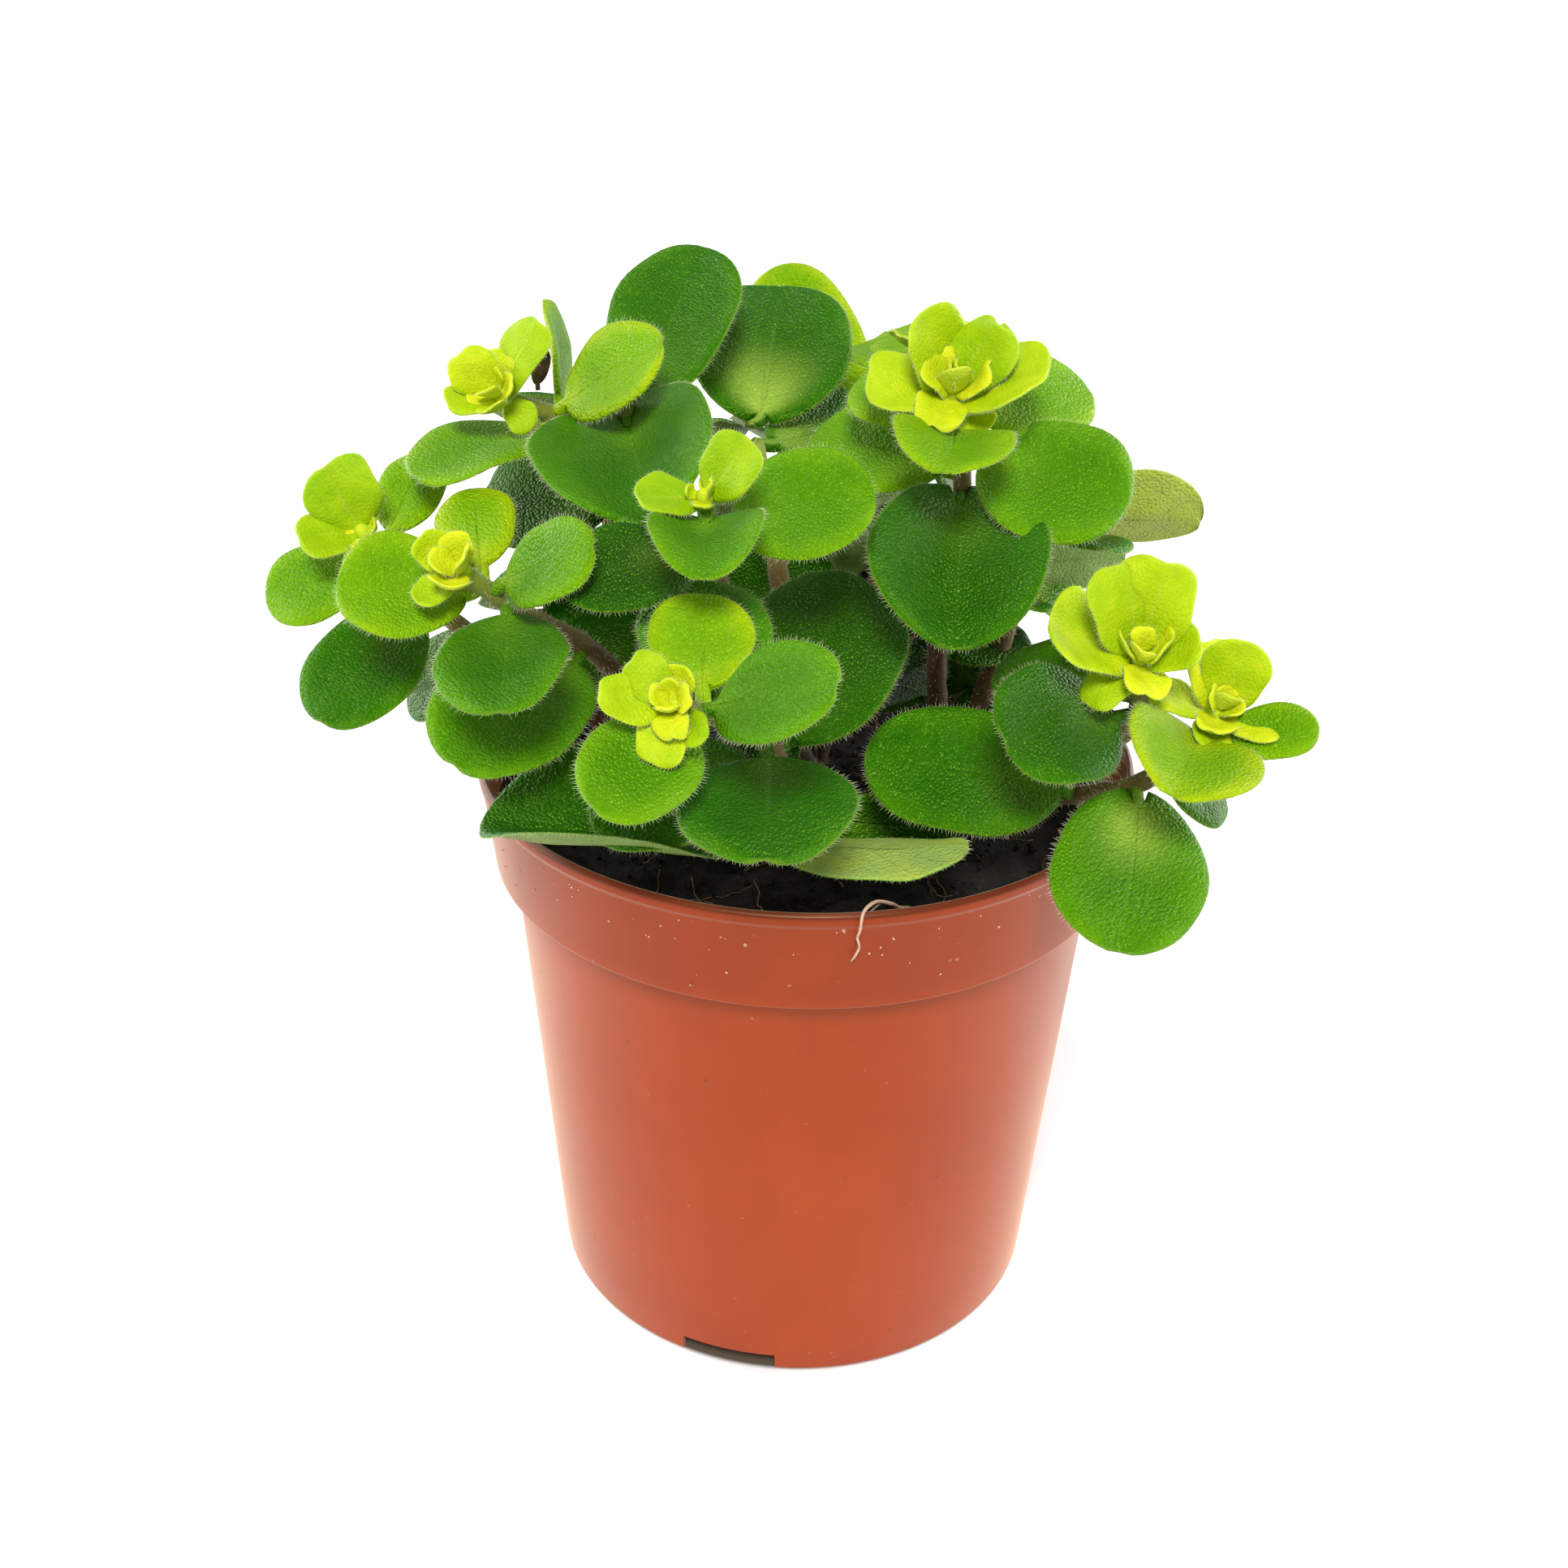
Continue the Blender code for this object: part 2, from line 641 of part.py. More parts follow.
def main():
    for obj in list(bpy.data.objects):
        bpy.data.objects.remove(obj)
    plant = collection("potted_peperomia")
    cutters = collection("cutters")
    terracotta = material("terracotta_plastic", POT_COLOUR, 0.4)
    peat = material("peat", SOIL_COLOUR, 0.95)
    bark = material("stem", STEM_COLOUR, 0.6)
    green = material("leaf", LEAF_COLOUR, 0.45)
    lime = material("young_leaf", YOUNG_COLOUR, 0.5)

    crowns = {name: Vector((x * MM, y * MM, soil_height(x * MM, y * MM))) for name, (x, y) in CROWNS.items()}
    make_pot(plant, cutters, terracotta)
    make_soil(plant, cutters, peat, crowns)
    rim_rise = Vector((0, 0, POT_HEIGHT - POINTS_RIM_HEIGHT))
    paths = {}
    for name, shoot in SHOOTS.items():
        base = crowns[shoot["crown"]]
        points = [base + Vector((0, 0, -PLANTING_DEPTH / 2)), base + Vector((0, 0, CROWN_HEIGHT * 0.6))]
        points += [Vector(spot) * MM + rim_rise for spot in shoot["path"]]
        paths[name] = smooth_path(points)
    for name, crown in crowns.items():
        branches = [paths[shoot] for shoot, facts in SHOOTS.items() if facts["crown"] == name]
        make_stems(f"stems_{name}", crown, branches, plant, cutters, bark)
    for name, shoot in SHOOTS.items():
        for number, row in enumerate(shoot["leaves"], 1):
            make_leaf(f"leaf_{name}_{number}", paths[name], row, shoot["light"], plant, green)
        for number, row in enumerate(shoot.get("pairs", []), 1):
            make_pair(f"leaf_pair_{name}_{number}", paths[name], row, plant, cutters, green)
        if shoot["tip"]:
            make_tip(f"tip_{name}", paths[name], *shoot["tip"], plant, cutters, lime)


main()
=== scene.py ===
"""The looks of a potted peperomia: fleshy leaves with hairy edges, lime tips, stems, peat and a plastic pot."""

import math
import random

import bmesh
import bpy
import numpy as np
from mathutils import Matrix, Vector, noise


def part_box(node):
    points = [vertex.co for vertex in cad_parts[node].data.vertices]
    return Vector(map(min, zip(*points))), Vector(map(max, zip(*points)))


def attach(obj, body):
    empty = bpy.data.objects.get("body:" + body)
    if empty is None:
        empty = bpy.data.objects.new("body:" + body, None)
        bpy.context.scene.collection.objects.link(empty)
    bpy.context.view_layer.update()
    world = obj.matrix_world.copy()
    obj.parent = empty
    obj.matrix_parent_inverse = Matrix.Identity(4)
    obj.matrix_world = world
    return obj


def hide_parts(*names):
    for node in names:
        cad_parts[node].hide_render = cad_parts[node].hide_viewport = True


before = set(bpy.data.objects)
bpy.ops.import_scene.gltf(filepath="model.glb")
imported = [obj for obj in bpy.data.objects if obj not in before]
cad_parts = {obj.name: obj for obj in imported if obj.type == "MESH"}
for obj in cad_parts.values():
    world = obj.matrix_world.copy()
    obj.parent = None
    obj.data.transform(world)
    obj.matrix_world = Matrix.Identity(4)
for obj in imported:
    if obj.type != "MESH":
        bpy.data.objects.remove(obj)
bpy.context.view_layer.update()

MM = 0.001
UP = Vector((0, 0, 1))


def linked(name, data):
    """A new object of the scene that holds this mesh, lamp or camera."""
    made = bpy.data.objects.new(name, data)
    bpy.context.scene.collection.objects.link(made)
    return made


def direction(heading, rise):
    """The unit vector at this heading about +Z from +X and this rise above level, in degrees."""
    turn, lift = math.radians(heading), math.radians(rise)
    return Vector((math.cos(turn) * math.cos(lift), math.sin(turn) * math.cos(lift), math.sin(lift)))


def circle(radius, steps):
    """Points (x, y) spaced evenly round the pot's axis."""
    return [(radius * math.cos(math.tau * k / steps), radius * math.sin(math.tau * k / steps)) for k in range(steps)]


def scattered(draws, reach):
    """A chance point (x, y) within this reach of the pot's axis."""
    far, turn = reach * draws.random() ** 0.5, draws.uniform(0, math.tau)
    return far * math.cos(turn), far * math.sin(turn)


# ---------------------------------------------------------------- finishes


class Reading:
    """One value inside a finish. Python's operators on it add the Math nodes that work it out."""

    def __init__(self, finish, socket):
        self.finish = finish
        self.socket = socket

    def maths(self, operation, *values, clamp=False):
        return self.finish.node("ShaderNodeMath", dict(operation=operation, use_clamp=clamp), dict(enumerate(values)))

    def __add__(self, other):
        return self.maths("ADD", self, other)

    def __radd__(self, other):
        return self.maths("ADD", other, self)

    def __sub__(self, other):
        return self.maths("SUBTRACT", self, other)

    def __rsub__(self, other):
        return self.maths("SUBTRACT", other, self)

    def __mul__(self, other):
        return self.maths("MULTIPLY", self, other)

    def __rmul__(self, other):
        return self.maths("MULTIPLY", other, self)

    def __abs__(self):
        return self.maths("ABSOLUTE", self)

    def clamped(self):
        return self.maths("ADD", self, 0, clamp=True)

    def fraction(self):
        return self.maths("FRACT", self)

    def between(self, low, high):
        """0 below low, 1 above high and smooth between them."""
        return self.finish.node(
            "ShaderNodeMapRange",
            dict(interpolation_type="SMOOTHSTEP"),
            {"Value": self, "From Min": low, "From Max": high, "To Min": 0, "To Max": 1},
        )


class Finish:
    """A material and the nodes that colour it."""

    def __init__(self, name, **constants):
        self.material = bpy.data.materials.new(name)
        self.material.use_nodes = True
        self.tree = self.material.node_tree
        self.shader = self.tree.nodes["Principled BSDF"]
        for socket, value in constants.items():
            self.shader.inputs[socket.replace("_", " ")].default_value = value

    def feed(self, socket, value):
        if isinstance(value, Reading):
            self.tree.links.new(value.socket, socket)
        else:
            socket.default_value = value

    def node(self, kind, settings=None, inputs=None, output=0):
        """Adds a node, makes its settings, then fills its sockets with values or readings."""
        made = self.tree.nodes.new(kind)
        for setting, value in (settings or {}).items():
            if setting == "stops":
                self.set_stops(made.color_ramp, value)
            else:
                setattr(made, setting, value)
        for socket, value in (inputs or {}).items():
            self.feed(made.inputs[socket], value)
        return Reading(self, made.outputs[output])

    @staticmethod
    def set_stops(ramp, stops):
        while len(ramp.elements) < len(stops):
            ramp.elements.new(0.5)
        for element, (place, colour) in zip(ramp.elements, stops):
            element.position = place
            element.color = (*colour, 1)

    def place(self):
        return self.node("ShaderNodeTexCoord", output="Object")

    def noise(self, size, detail=3, roughness=0.55, place=None, distortion=0):
        """Soft blotches about size metres across."""
        return self.node(
            "ShaderNodeTexNoise",
            None,
            {
                "Vector": place or self.place(),
                "Scale": 1 / size,
                "Detail": detail,
                "Roughness": roughness,
                "Distortion": distortion,
            },
        )

    def cells(self, size, feature="F1"):
        """Distance from the middles of cells about size metres across."""
        return self.node("ShaderNodeTexVoronoi", dict(feature=feature), {"Vector": self.place(), "Scale": 1 / size})

    def attribute(self, name):
        return self.node("ShaderNodeAttribute", dict(attribute_name=name), output="Fac")

    def ramp(self, value, *stops):
        return self.node("ShaderNodeValToRGB", dict(stops=stops), {"Fac": value})

    def mix(self, share, one, two, blend="MIX"):
        """Colour one turned into colour two by share."""
        one, two = ((*c, 1) if isinstance(c, tuple) else c for c in (one, two))
        settings = dict(data_type="RGBA", blend_type=blend)
        return self.node("ShaderNodeMix", settings, {0: share, 6: one, 7: two}, output=2)

    def stretched(self, scale):
        """The place on the piece, with each direction scaled."""
        return self.node("ShaderNodeVectorMath", dict(operation="MULTIPLY"), {0: self.place(), 1: scale})

    def wear(self, colour, roughness, height, depth, strength=1.0):
        """Feeds the shader: its colour, its roughness and the height of its relief, depth metres deep."""
        self.feed(self.shader.inputs["Base Color"], colour)
        self.feed(self.shader.inputs["Roughness"], roughness)
        bump = self.node("ShaderNodeBump", None, {"Height": height, "Distance": depth, "Strength": strength})
        self.feed(self.shader.inputs["Normal"], bump)
        return self.material


def leaf_finish():
    """Fleshy leaf skin: green by its youth and pebbled, with painted sheen towards its edges, a pale edge, faint veins
    and a pale underside.
    """
    leaf = Finish("leaf_skin", Specular_IOR_Level=0.45, Specular_Tint=(0.6, 1.0, 0.12, 1))
    along, across = leaf.attribute("along"), leaf.attribute("across")
    youth, under, veined = leaf.attribute("youth"), leaf.attribute("under"), leaf.attribute("veined")
    blotches = leaf.noise(5 * MM, 3)
    mottle = leaf.noise(0.7 * MM, 2)
    pebbles = leaf.cells(0.42 * MM)
    reach = abs(across)
    near_stalk = 1 - along.between(0.05, 0.4)
    # Lighter towards the edges and the tip: painted sheen where the curved blade turns to the light, and paler near the
    # stalk.
    pale_base_and_painted_sheen = reach.between(0.4, 1.0) * 0.12 + along.between(0.6, 1.0) * 0.06 + near_stalk * (1 - reach) * 0.2
    shade = youth + (blotches - 0.5) * 0.22 + pale_base_and_painted_sheen - 0.05
    upper = leaf.ramp(
        shade.clamped(),
        (0.0, (0.005, 0.045, 0.0004)),
        (0.3, (0.014, 0.108, 0.0006)),
        (0.55, (0.066, 0.225, 0.0008)),
        (0.78, (0.175, 0.36, 0.001)),
        (1.0, (0.43, 0.52, 0.002)),
    )
    upper = leaf.mix((mottle - 0.3).clamped() * 0.6, upper, (0.7, 0.8, 0.6), blend="MULTIPLY")
    pale_base = (1 - along.between(0.1, 0.6)) * (1 - reach.between(0.1, 0.9)) * veined
    upper = leaf.mix(pale_base * 0.75, upper, (0.34, 0.48, 0.06))
    speck = (1 - pebbles.between(0.05, 0.3)) * leaf.noise(2.2 * MM, 1).between(0.45, 0.65)
    upper = leaf.mix(speck * 0.14, upper, (0.45, 0.6, 0.1))
    rib = (1 - reach.between(0.0, 0.05)) * (1 - along.between(0.35, 0.95))
    slant = along * 5.2 - reach * 1.5
    wave = (slant + 4).fraction()
    branch = (1 - abs(wave - 0.5).between(0.02, 0.09)) * reach.between(0.02, 0.2) * (1 - reach.between(0.55, 0.9))
    veins = (rib * 0.7 + branch * 0.35 * veined + rib * veined).clamped()
    upper = leaf.mix(veins * 0.13, upper, (0.2, 0.36, 0.03))
    rim = reach.between(0.955, 1.0) + along.between(0.985, 1.0)
    upper = leaf.mix(rim.clamped() * 0.4, upper, (0.22, 0.36, 0.03))
    lower = leaf.ramp(
        (youth + blotches * 0.5).clamped(),
        (0.25, (0.1, 0.18, 0.03)),
        (0.65, (0.26, 0.38, 0.1)),
        (1.0, (0.42, 0.5, 0.05)),
    )
    lower = leaf.mix((rib + branch * 0.4).clamped() * 0.5, lower, (0.12, 0.2, 0.04))
    colour = leaf.mix(under.between(0.3, 0.7), upper, lower)
    roughness = 0.3 + mottle * 0.14 + under * 0.2
    puckers = leaf.cells(1.1 * MM, feature="SMOOTH_F1")
    height = (1 - pebbles) * 1.5 + mottle * 0.7 - puckers * 0.4 - veins * 1.0
    return leaf.wear(colour, roughness, height, 0.16 * MM)


def young_finish():
    """Soft skin of the young leaves in the tips: lime, nearly yellow in the heart."""
    young = Finish(
        "young_leaf_skin",
        Specular_IOR_Level=0.35,
        Specular_Tint=(1.0, 1.0, 0.3, 1),
        Subsurface_Weight=0.25,
        Subsurface_Scale=0.8 * MM,
        Subsurface_Radius=(1.0, 1.2, 0.15),
    )
    along, across = young.attribute("along"), young.attribute("across")
    youth, under = young.attribute("youth"), young.attribute("under")
    blotches = young.noise(2.5 * MM, 3)
    pebbles = young.cells(0.35 * MM)
    reach = abs(across)
    shade = youth + (blotches - 0.5) * 0.3 - along * 0.04
    colour = young.ramp(
        shade.clamped(),
        (0.35, (0.11, 0.29, 0.001)),
        (0.6, (0.22, 0.41, 0.001)),
        (0.8, (0.38, 0.53, 0.003)),
        (1.0, (0.64, 0.67, 0.012)),
    )
    rib = (1 - reach.between(0.0, 0.1)) * (1 - along.between(0.5, 1.0))
    colour = young.mix(rib * 0.12, colour, (0.62, 0.7, 0.12))
    rim = (reach.between(0.9, 1.0) + along.between(0.95, 1.0)).clamped()
    colour = young.mix(rim * 0.2, colour, (0.6, 0.68, 0.1))
    colour = young.mix(under * 0.35, colour, (0.5, 0.58, 0.08))
    height = (1 - pebbles) * 1.1 + young.noise(0.6 * MM, 2) * 0.6 - rib * 0.5
    return young.wear(colour, 0.42 + blotches * 0.15, height, 0.11 * MM, 0.8)


def hair_finish():
    """Fine pale hairs."""
    hair = Finish("leaf_hair", Specular_IOR_Level=0.4, Sheen_Weight=0.3)
    tone = hair.noise(3 * MM, 2)
    colour = hair.ramp(tone, (0.3, (0.5, 0.56, 0.26)), (0.7, (0.78, 0.8, 0.56)))
    return hair.wear(colour, 0.5 + tone * 0.2, tone, 0.01 * MM)


def stem_finish():
    """Stem skin: red-brown and corky below, green towards the tips, with raised joints."""
    stem = Finish("stem_skin", Specular_IOR_Level=0.3, Sheen_Weight=0.2, Sheen_Roughness=0.5)
    youth = stem.attribute("youth")
    streaks = stem.noise(1.2 * MM, 4, place=stem.stretched((1, 1, 0.25)))
    spots = stem.noise(0.5 * MM, 2)
    shade = youth + (streaks - 0.5) * 0.45
    colour = stem.ramp(
        shade.clamped(),
        (0.0, (0.035, 0.014, 0.007)),
        (0.35, (0.1, 0.04, 0.016)),
        (0.65, (0.13, 0.1, 0.016)),
        (1.0, (0.2, 0.3, 0.01)),
    )
    colour = stem.mix(spots.between(0.5, 0.75) * 0.35, colour, (0.32, 0.25, 0.12))
    return stem.wear(colour, 0.55 + streaks * 0.2, streaks + spots * 0.5, 0.2 * MM, 0.7)


def peat_finish():
    """Moist peat: almost black, with brown fibres and crumbs."""
    peat = Finish("moist_peat", Specular_IOR_Level=0.25)
    lumps = peat.noise(3 * MM, 6, 0.65)
    grains = peat.noise(0.6 * MM, 4, 0.6)
    fibres = peat.noise(0.8 * MM, 3, place=peat.stretched((1, 0.2, 1)), distortion=1.5)
    colour = peat.ramp(
        lumps * 0.6 + grains * 0.4,
        (0.3, (0.002, 0.0018, 0.0018)),
        (0.55, (0.01, 0.007, 0.005)),
        (0.75, (0.035, 0.02, 0.012)),
    )
    colour = peat.mix(fibres.between(0.62, 0.7) * 0.3, colour, (0.09, 0.05, 0.025))
    return peat.wear(colour, 0.72 + grains * 0.25, lumps + grains * 0.5, 0.8 * MM, 0.9)


def fibre_finish(name, dark, light):
    """Dry root or husk: straw to brown along its length."""
    fibre = Finish(name, Specular_IOR_Level=0.25)
    tone = fibre.noise(1.5 * MM, 4)
    colour = fibre.ramp(tone, (0.3, dark), (0.7, light))
    return fibre.wear(colour, 0.65 + tone * 0.2, fibre.noise(0.3 * MM, 3), 0.1 * MM, 0.8)


def pot_finish():
    """Moulded terracotta plastic: satin, slightly cloudy, scuffed near the rim, with a few earth splashes, painted
    shade on the collar and a painted dark band of shade along the rim's top.
    """
    pot = Finish(
        "terracotta_plastic",
        Specular_IOR_Level=0.5,
        Specular_Tint=(1.0, 0.6, 0.35, 1),
        Sheen_Weight=0.3,
        Sheen_Roughness=0.35,
        Sheen_Tint=(1.0, 0.85, 0.55, 1),
    )
    height_up = pot.node("ShaderNodeSeparateXYZ", None, {0: pot.place()}, output=2)
    clouds = pot.noise(22 * MM, 4, 0.6)
    grain = pot.noise(0.35 * MM, 2)
    drift = pot.noise(6 * MM, 4, place=pot.stretched((1, 1, 0.25)))
    colour = pot.ramp(
        clouds * 0.65 + drift * 0.35,
        (0.3, (0.28, 0.029, 0.0025)),
        (0.55, (0.325, 0.036, 0.0035)),
        (0.75, (0.37, 0.047, 0.006)),
    )
    # Painted shade: the collar is darkened, standing in for the shadow that the leaves cast on it.
    collar = height_up.between(66 * MM, 70 * MM)
    colour = pot.mix(collar * 0.6, colour, (0.72, 0.62, 0.6), blend="MULTIPLY")
    colour = pot.mix((grain - 0.35).clamped() * 0.25, colour, (0.62, 0.5, 0.45), blend="MULTIPLY")
    # Painted shade: a dark band along the top and inner lip of the rim.
    rim = height_up.between(81.0 * MM, 81.6 * MM)
    colour = pot.mix(rim * 0.85, colour, (0.08, 0.012, 0.004))
    near_rim = height_up.between(58 * MM, 82 * MM)
    dust_spots = pot.cells(2.6 * MM)
    dust = (1 - dust_spots.between(0.05, 0.13)) * pot.noise(9 * MM, 2).between(0.5, 0.6)
    colour = pot.mix(dust * (0.15 + near_rim * 0.5), colour, (0.55, 0.4, 0.32))
    earth = (1 - pot.cells(4.2 * MM).between(0.03, 0.08)) * pot.noise(14 * MM, 2).between(0.48, 0.58)
    colour = pot.mix(earth * 0.7, colour, (0.07, 0.025, 0.015))
    roughness = 0.3 + clouds * 0.1 + drift * 0.08 + dust * 0.3
    relief = grain * 0.25 + clouds * 0.6 + dust * 0.8 + drift * 0.3
    return pot.wear(colour, roughness, relief, 0.06 * MM, 0.5)


# ---------------------------------------------------------------- gathering a piece


class Piece:
    """Corners and faces gathered for one piece, with the readings that its finish uses."""

    READINGS = ("along", "across", "youth", "under", "veined")

    def __init__(self):
        self.points = []
        self.faces = []
        self.readings = {name: [] for name in self.READINGS}

    def corner(self, point, **readings):
        self.points.append(point)
        for name in self.READINGS:
            self.readings[name].append(readings.get(name, 0.0))
        return len(self.points) - 1

    def made(self, name, finish, slot, smooth=True):
        """Turns what was gathered into an object that rides on the plant."""
        mesh = bpy.data.meshes.new(name)
        mesh.from_pydata([tuple(p) for p in self.points], [], self.faces)
        mesh.validate()
        for reading, values in self.readings.items():
            if any(values):
                mesh.attributes.new(reading, "FLOAT", "POINT").data.foreach_set("value", values)
        mesh.materials.append(finish)
        if smooth:
            mesh.shade_smooth()
        made = linked(name, mesh)
        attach(made, "root")
        return made


def add_hair(piece, root, out, length, radius):
    """One closed three-sided spike."""
    side = out.orthogonal().normalized()
    other = out.cross(side)
    start = root - out * radius * 2
    ring = []
    for k in range(3):
        angle = k * math.tau / 3
        ring.append(piece.corner(start + (side * math.cos(angle) + other * math.sin(angle)) * radius))
    top = piece.corner(root + out * length)
    piece.faces.append((ring[2], ring[1], ring[0]))
    for k in range(3):
        piece.faces.append((ring[k], ring[(k + 1) % 3], top))


def add_tube(piece, path, radii, sides=8, youths=None, lumps=0.0, seed=0):
    """A closed round tube along the path."""
    normal = (path[1] - path[0]).orthogonal().normalized()
    rings = []
    for number, spot in enumerate(path):
        before, after = path[max(0, number - 1)], path[min(len(path) - 1, number + 1)]
        tangent = (after - before).normalized()
        normal = (normal - tangent * normal.dot(tangent)).normalized()
        other = tangent.cross(normal)
        ring = []
        for k in range(sides):
            angle = k * math.tau / sides
            out = normal * math.cos(angle) + other * math.sin(angle)
            swell = 1 + lumps * noise.noise(spot / (1.6 * MM) + out * 0.8 + Vector((seed, 0, 0)))
            youth = youths[number] if youths else 0.0
            ring.append(piece.corner(spot + out * radii[number] * swell, youth=youth, along=number / len(path)))
        rings.append(ring)
    for one, two in zip(rings, rings[1:]):
        for k in range(sides):
            piece.faces.append((one[k], one[(k + 1) % sides], two[(k + 1) % sides], two[k]))
    piece.faces.append(tuple(reversed(rings[0])))
    piece.faces.append(tuple(rings[-1]))


# ---------------------------------------------------------------- branches


PLANTING_DEPTH = 7 * MM
CROWN_HEIGHT = 5 * MM
# Where the crown of each cutting stands, in mm.
CROWNS = {"left": (-18, -2), "middle": (1, -4), "right": (19, -4)}

# Each branch: the crown that it grows from and the points in mm that it passes through.
BRANCHES = {
    "upper_left": ("left", [(-23, 10, 98), (-28, 11, 118), (-33, 7, 125), (-40, 3, 129)]),
    "broken": ("left", [(-20, 5, 98), (-25, 7, 129)]),
    "top": ("middle", [(-3, 4, 98), (-7, 11, 118), (-10, 17, 128)]),
    "left_outer": ("left", [(-36, -4, 92), (-49, -6, 104), (-57, -7, 114)]),
    "left_front": ("left", [(-26, -14, 100), (-35, -20, 109), (-42, -24, 116)]),
    "centre_front": ("middle", [(-8, -14, 98), (-12, -18, 116), (-13, -22, 125)]),
    "front": ("middle", [(-2, -24, 88), (-5, -31, 98), (-9, -36, 103), (-15, -43, 108)]),
    "low_front": ("middle", [(0, -16, 81), (-4, -26, 83), (-7, -35, 84)]),
    "upper_right": ("right", [(17, -3, 98), (19, -3, 120), (17, -2, 132)]),
    "right_front": ("right", [(30, -13, 86), (40, -22, 96), (40, -23, 106)]),
    "right_outer": ("right", [(30, -17, 84), (40, -26, 90), (48, -24, 95), (50, -23, 99)]),
    "right_back": ("right", [(25, 2, 92), (29, 7, 106), (30, 9, 117)]),
    "back_right": ("middle", [(8, 10, 98), (16, 19, 118), (18, 22, 130)]),
    "back": ("middle", [(4, 14, 92), (6, 28, 104), (7, 33, 114)]),
    "back_left": ("left", [(-22, 12, 92), (-29, 24, 106), (-31, 30, 118)]),
}


SPAN_STEPS = 12


def smooth_path(points, count):
    """Points evenly spaced along one smooth curve through the given points."""
    ends = [points[0] * 2 - points[1], *points, points[-1] * 2 - points[-2]]
    fine = []
    for before, start, stop, after in zip(ends, ends[1:], ends[2:], ends[3:]):
        for step in range(SPAN_STEPS):
            t = step / SPAN_STEPS
            fine.append(
                0.5
                * (
                    2 * start
                    + (stop - before) * t
                    + (2 * before - 5 * start + 4 * stop - after) * t * t
                    + (3 * start - before - 3 * stop + after) * t * t * t
                )
            )
    fine.append(points[-1].copy())
    lengths = [0.0]
    for one, two in zip(fine, fine[1:]):
        lengths.append(lengths[-1] + (two - one).length)
    evenly = []
    for k in range(count):
        wanted = lengths[-1] * k / (count - 1)
        spot = max(0, min(len(fine) - 2, next((i for i, far in enumerate(lengths[1:]) if wanted <= far + 1e-9), 0)))
        span = max(lengths[spot + 1] - lengths[spot], 1e-9)
        evenly.append(fine[spot].lerp(fine[spot + 1], min(1, (wanted - lengths[spot]) / span)))
    return evenly


def at_share(path, share):
    """(point, tangent) at this share of an evenly spaced path."""
    spot = share * (len(path) - 1)
    start = min(int(spot), len(path) - 2)
    return path[start].lerp(path[start + 1], spot - start), (path[start + 1] - path[start]).normalized()


PATH_POINTS = 49


def branch_paths():
    """The middle line of each branch, from inside its crown to its tip."""
    paths = {}
    for name, (crown, points) in BRANCHES.items():
        x, y = CROWNS[crown]
        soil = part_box(f"stems_{crown}")[0].z + PLANTING_DEPTH
        base = Vector((x * MM, y * MM, soil))
        start = [base - UP * PLANTING_DEPTH / 2, base + UP * CROWN_HEIGHT * 0.6]
        paths[name] = smooth_path(start + [Vector(p) * MM for p in points], PATH_POINTS)
    return paths


PATHS = branch_paths()


# ---------------------------------------------------------------- leaves


STALK = 1.1 * MM
STALK_HALF_WIDTH = 0.95 * MM
LEAF_THICKNESS = 1.15 * MM
BASE_ROUNDNESS = 0.52
TIP_ROUNDNESS = 0.46
FULLNESS = 1.03
# A pair of leaves meets in a ring this near to its branch, and each blade is clear of the ring from this far out.
RING_REACH = 3.5 * MM
BLADE_FROM = 2.4 * MM
# A solid's corners that lie this near to its nearest one are the end of its stalk, and beyond this share of its
# length they are its tip.
SINGLE_END = 0.9 * MM
PAIR_END = 1.0 * MM
TIP_SHARE = 0.985


def outline(share, tip=TIP_ROUNDNESS):
    """A blade's half width at this share of its length, as a share of its greatest half width."""
    widest = BASE_ROUNDNESS / (BASE_ROUNDNESS + tip)
    greatest = widest**BASE_ROUNDNESS * (1 - widest) ** tip
    return share**BASE_ROUNDNESS * (1 - share) ** tip / greatest


class Leaf:
    """A leaf's place and shape. start is where its stalk leaves the stem's middle and base is where the stalk shows."""

    def __init__(self, start, base, axes, length, half_width, cup, arch):
        self.start = start
        self.base = base
        self.along, self.side, self.upper = axes
        self.length = length
        self.half_width = half_width
        self.cup = cup
        self.arch = arch

    def face_up(self, roll):
        """Turns the blade about its stalk so that its upper face looks straight up, then by roll degrees more."""
        upper = (UP - self.along * UP.dot(self.along)).normalized()
        self.upper = Matrix.Rotation(math.radians(roll), 3, self.along) @ upper
        self.side = self.upper.cross(self.along)

    def swing(self, turn, width, reach):
        """Swings the blade about its stalk by turn degrees, and makes it slimmer and longer."""
        swung = Matrix.Rotation(math.radians(turn), 3, "Z")
        self.along, self.side, self.upper = swung @ self.along, swung @ self.side, swung @ self.upper
        self.half_width *= width
        self.length *= reach


def nearest_on(path, point):
    return min(path, key=lambda spot: (spot - point).length_squared)


def distance_to(path, point):
    return min((spot - point).length for spot in path)


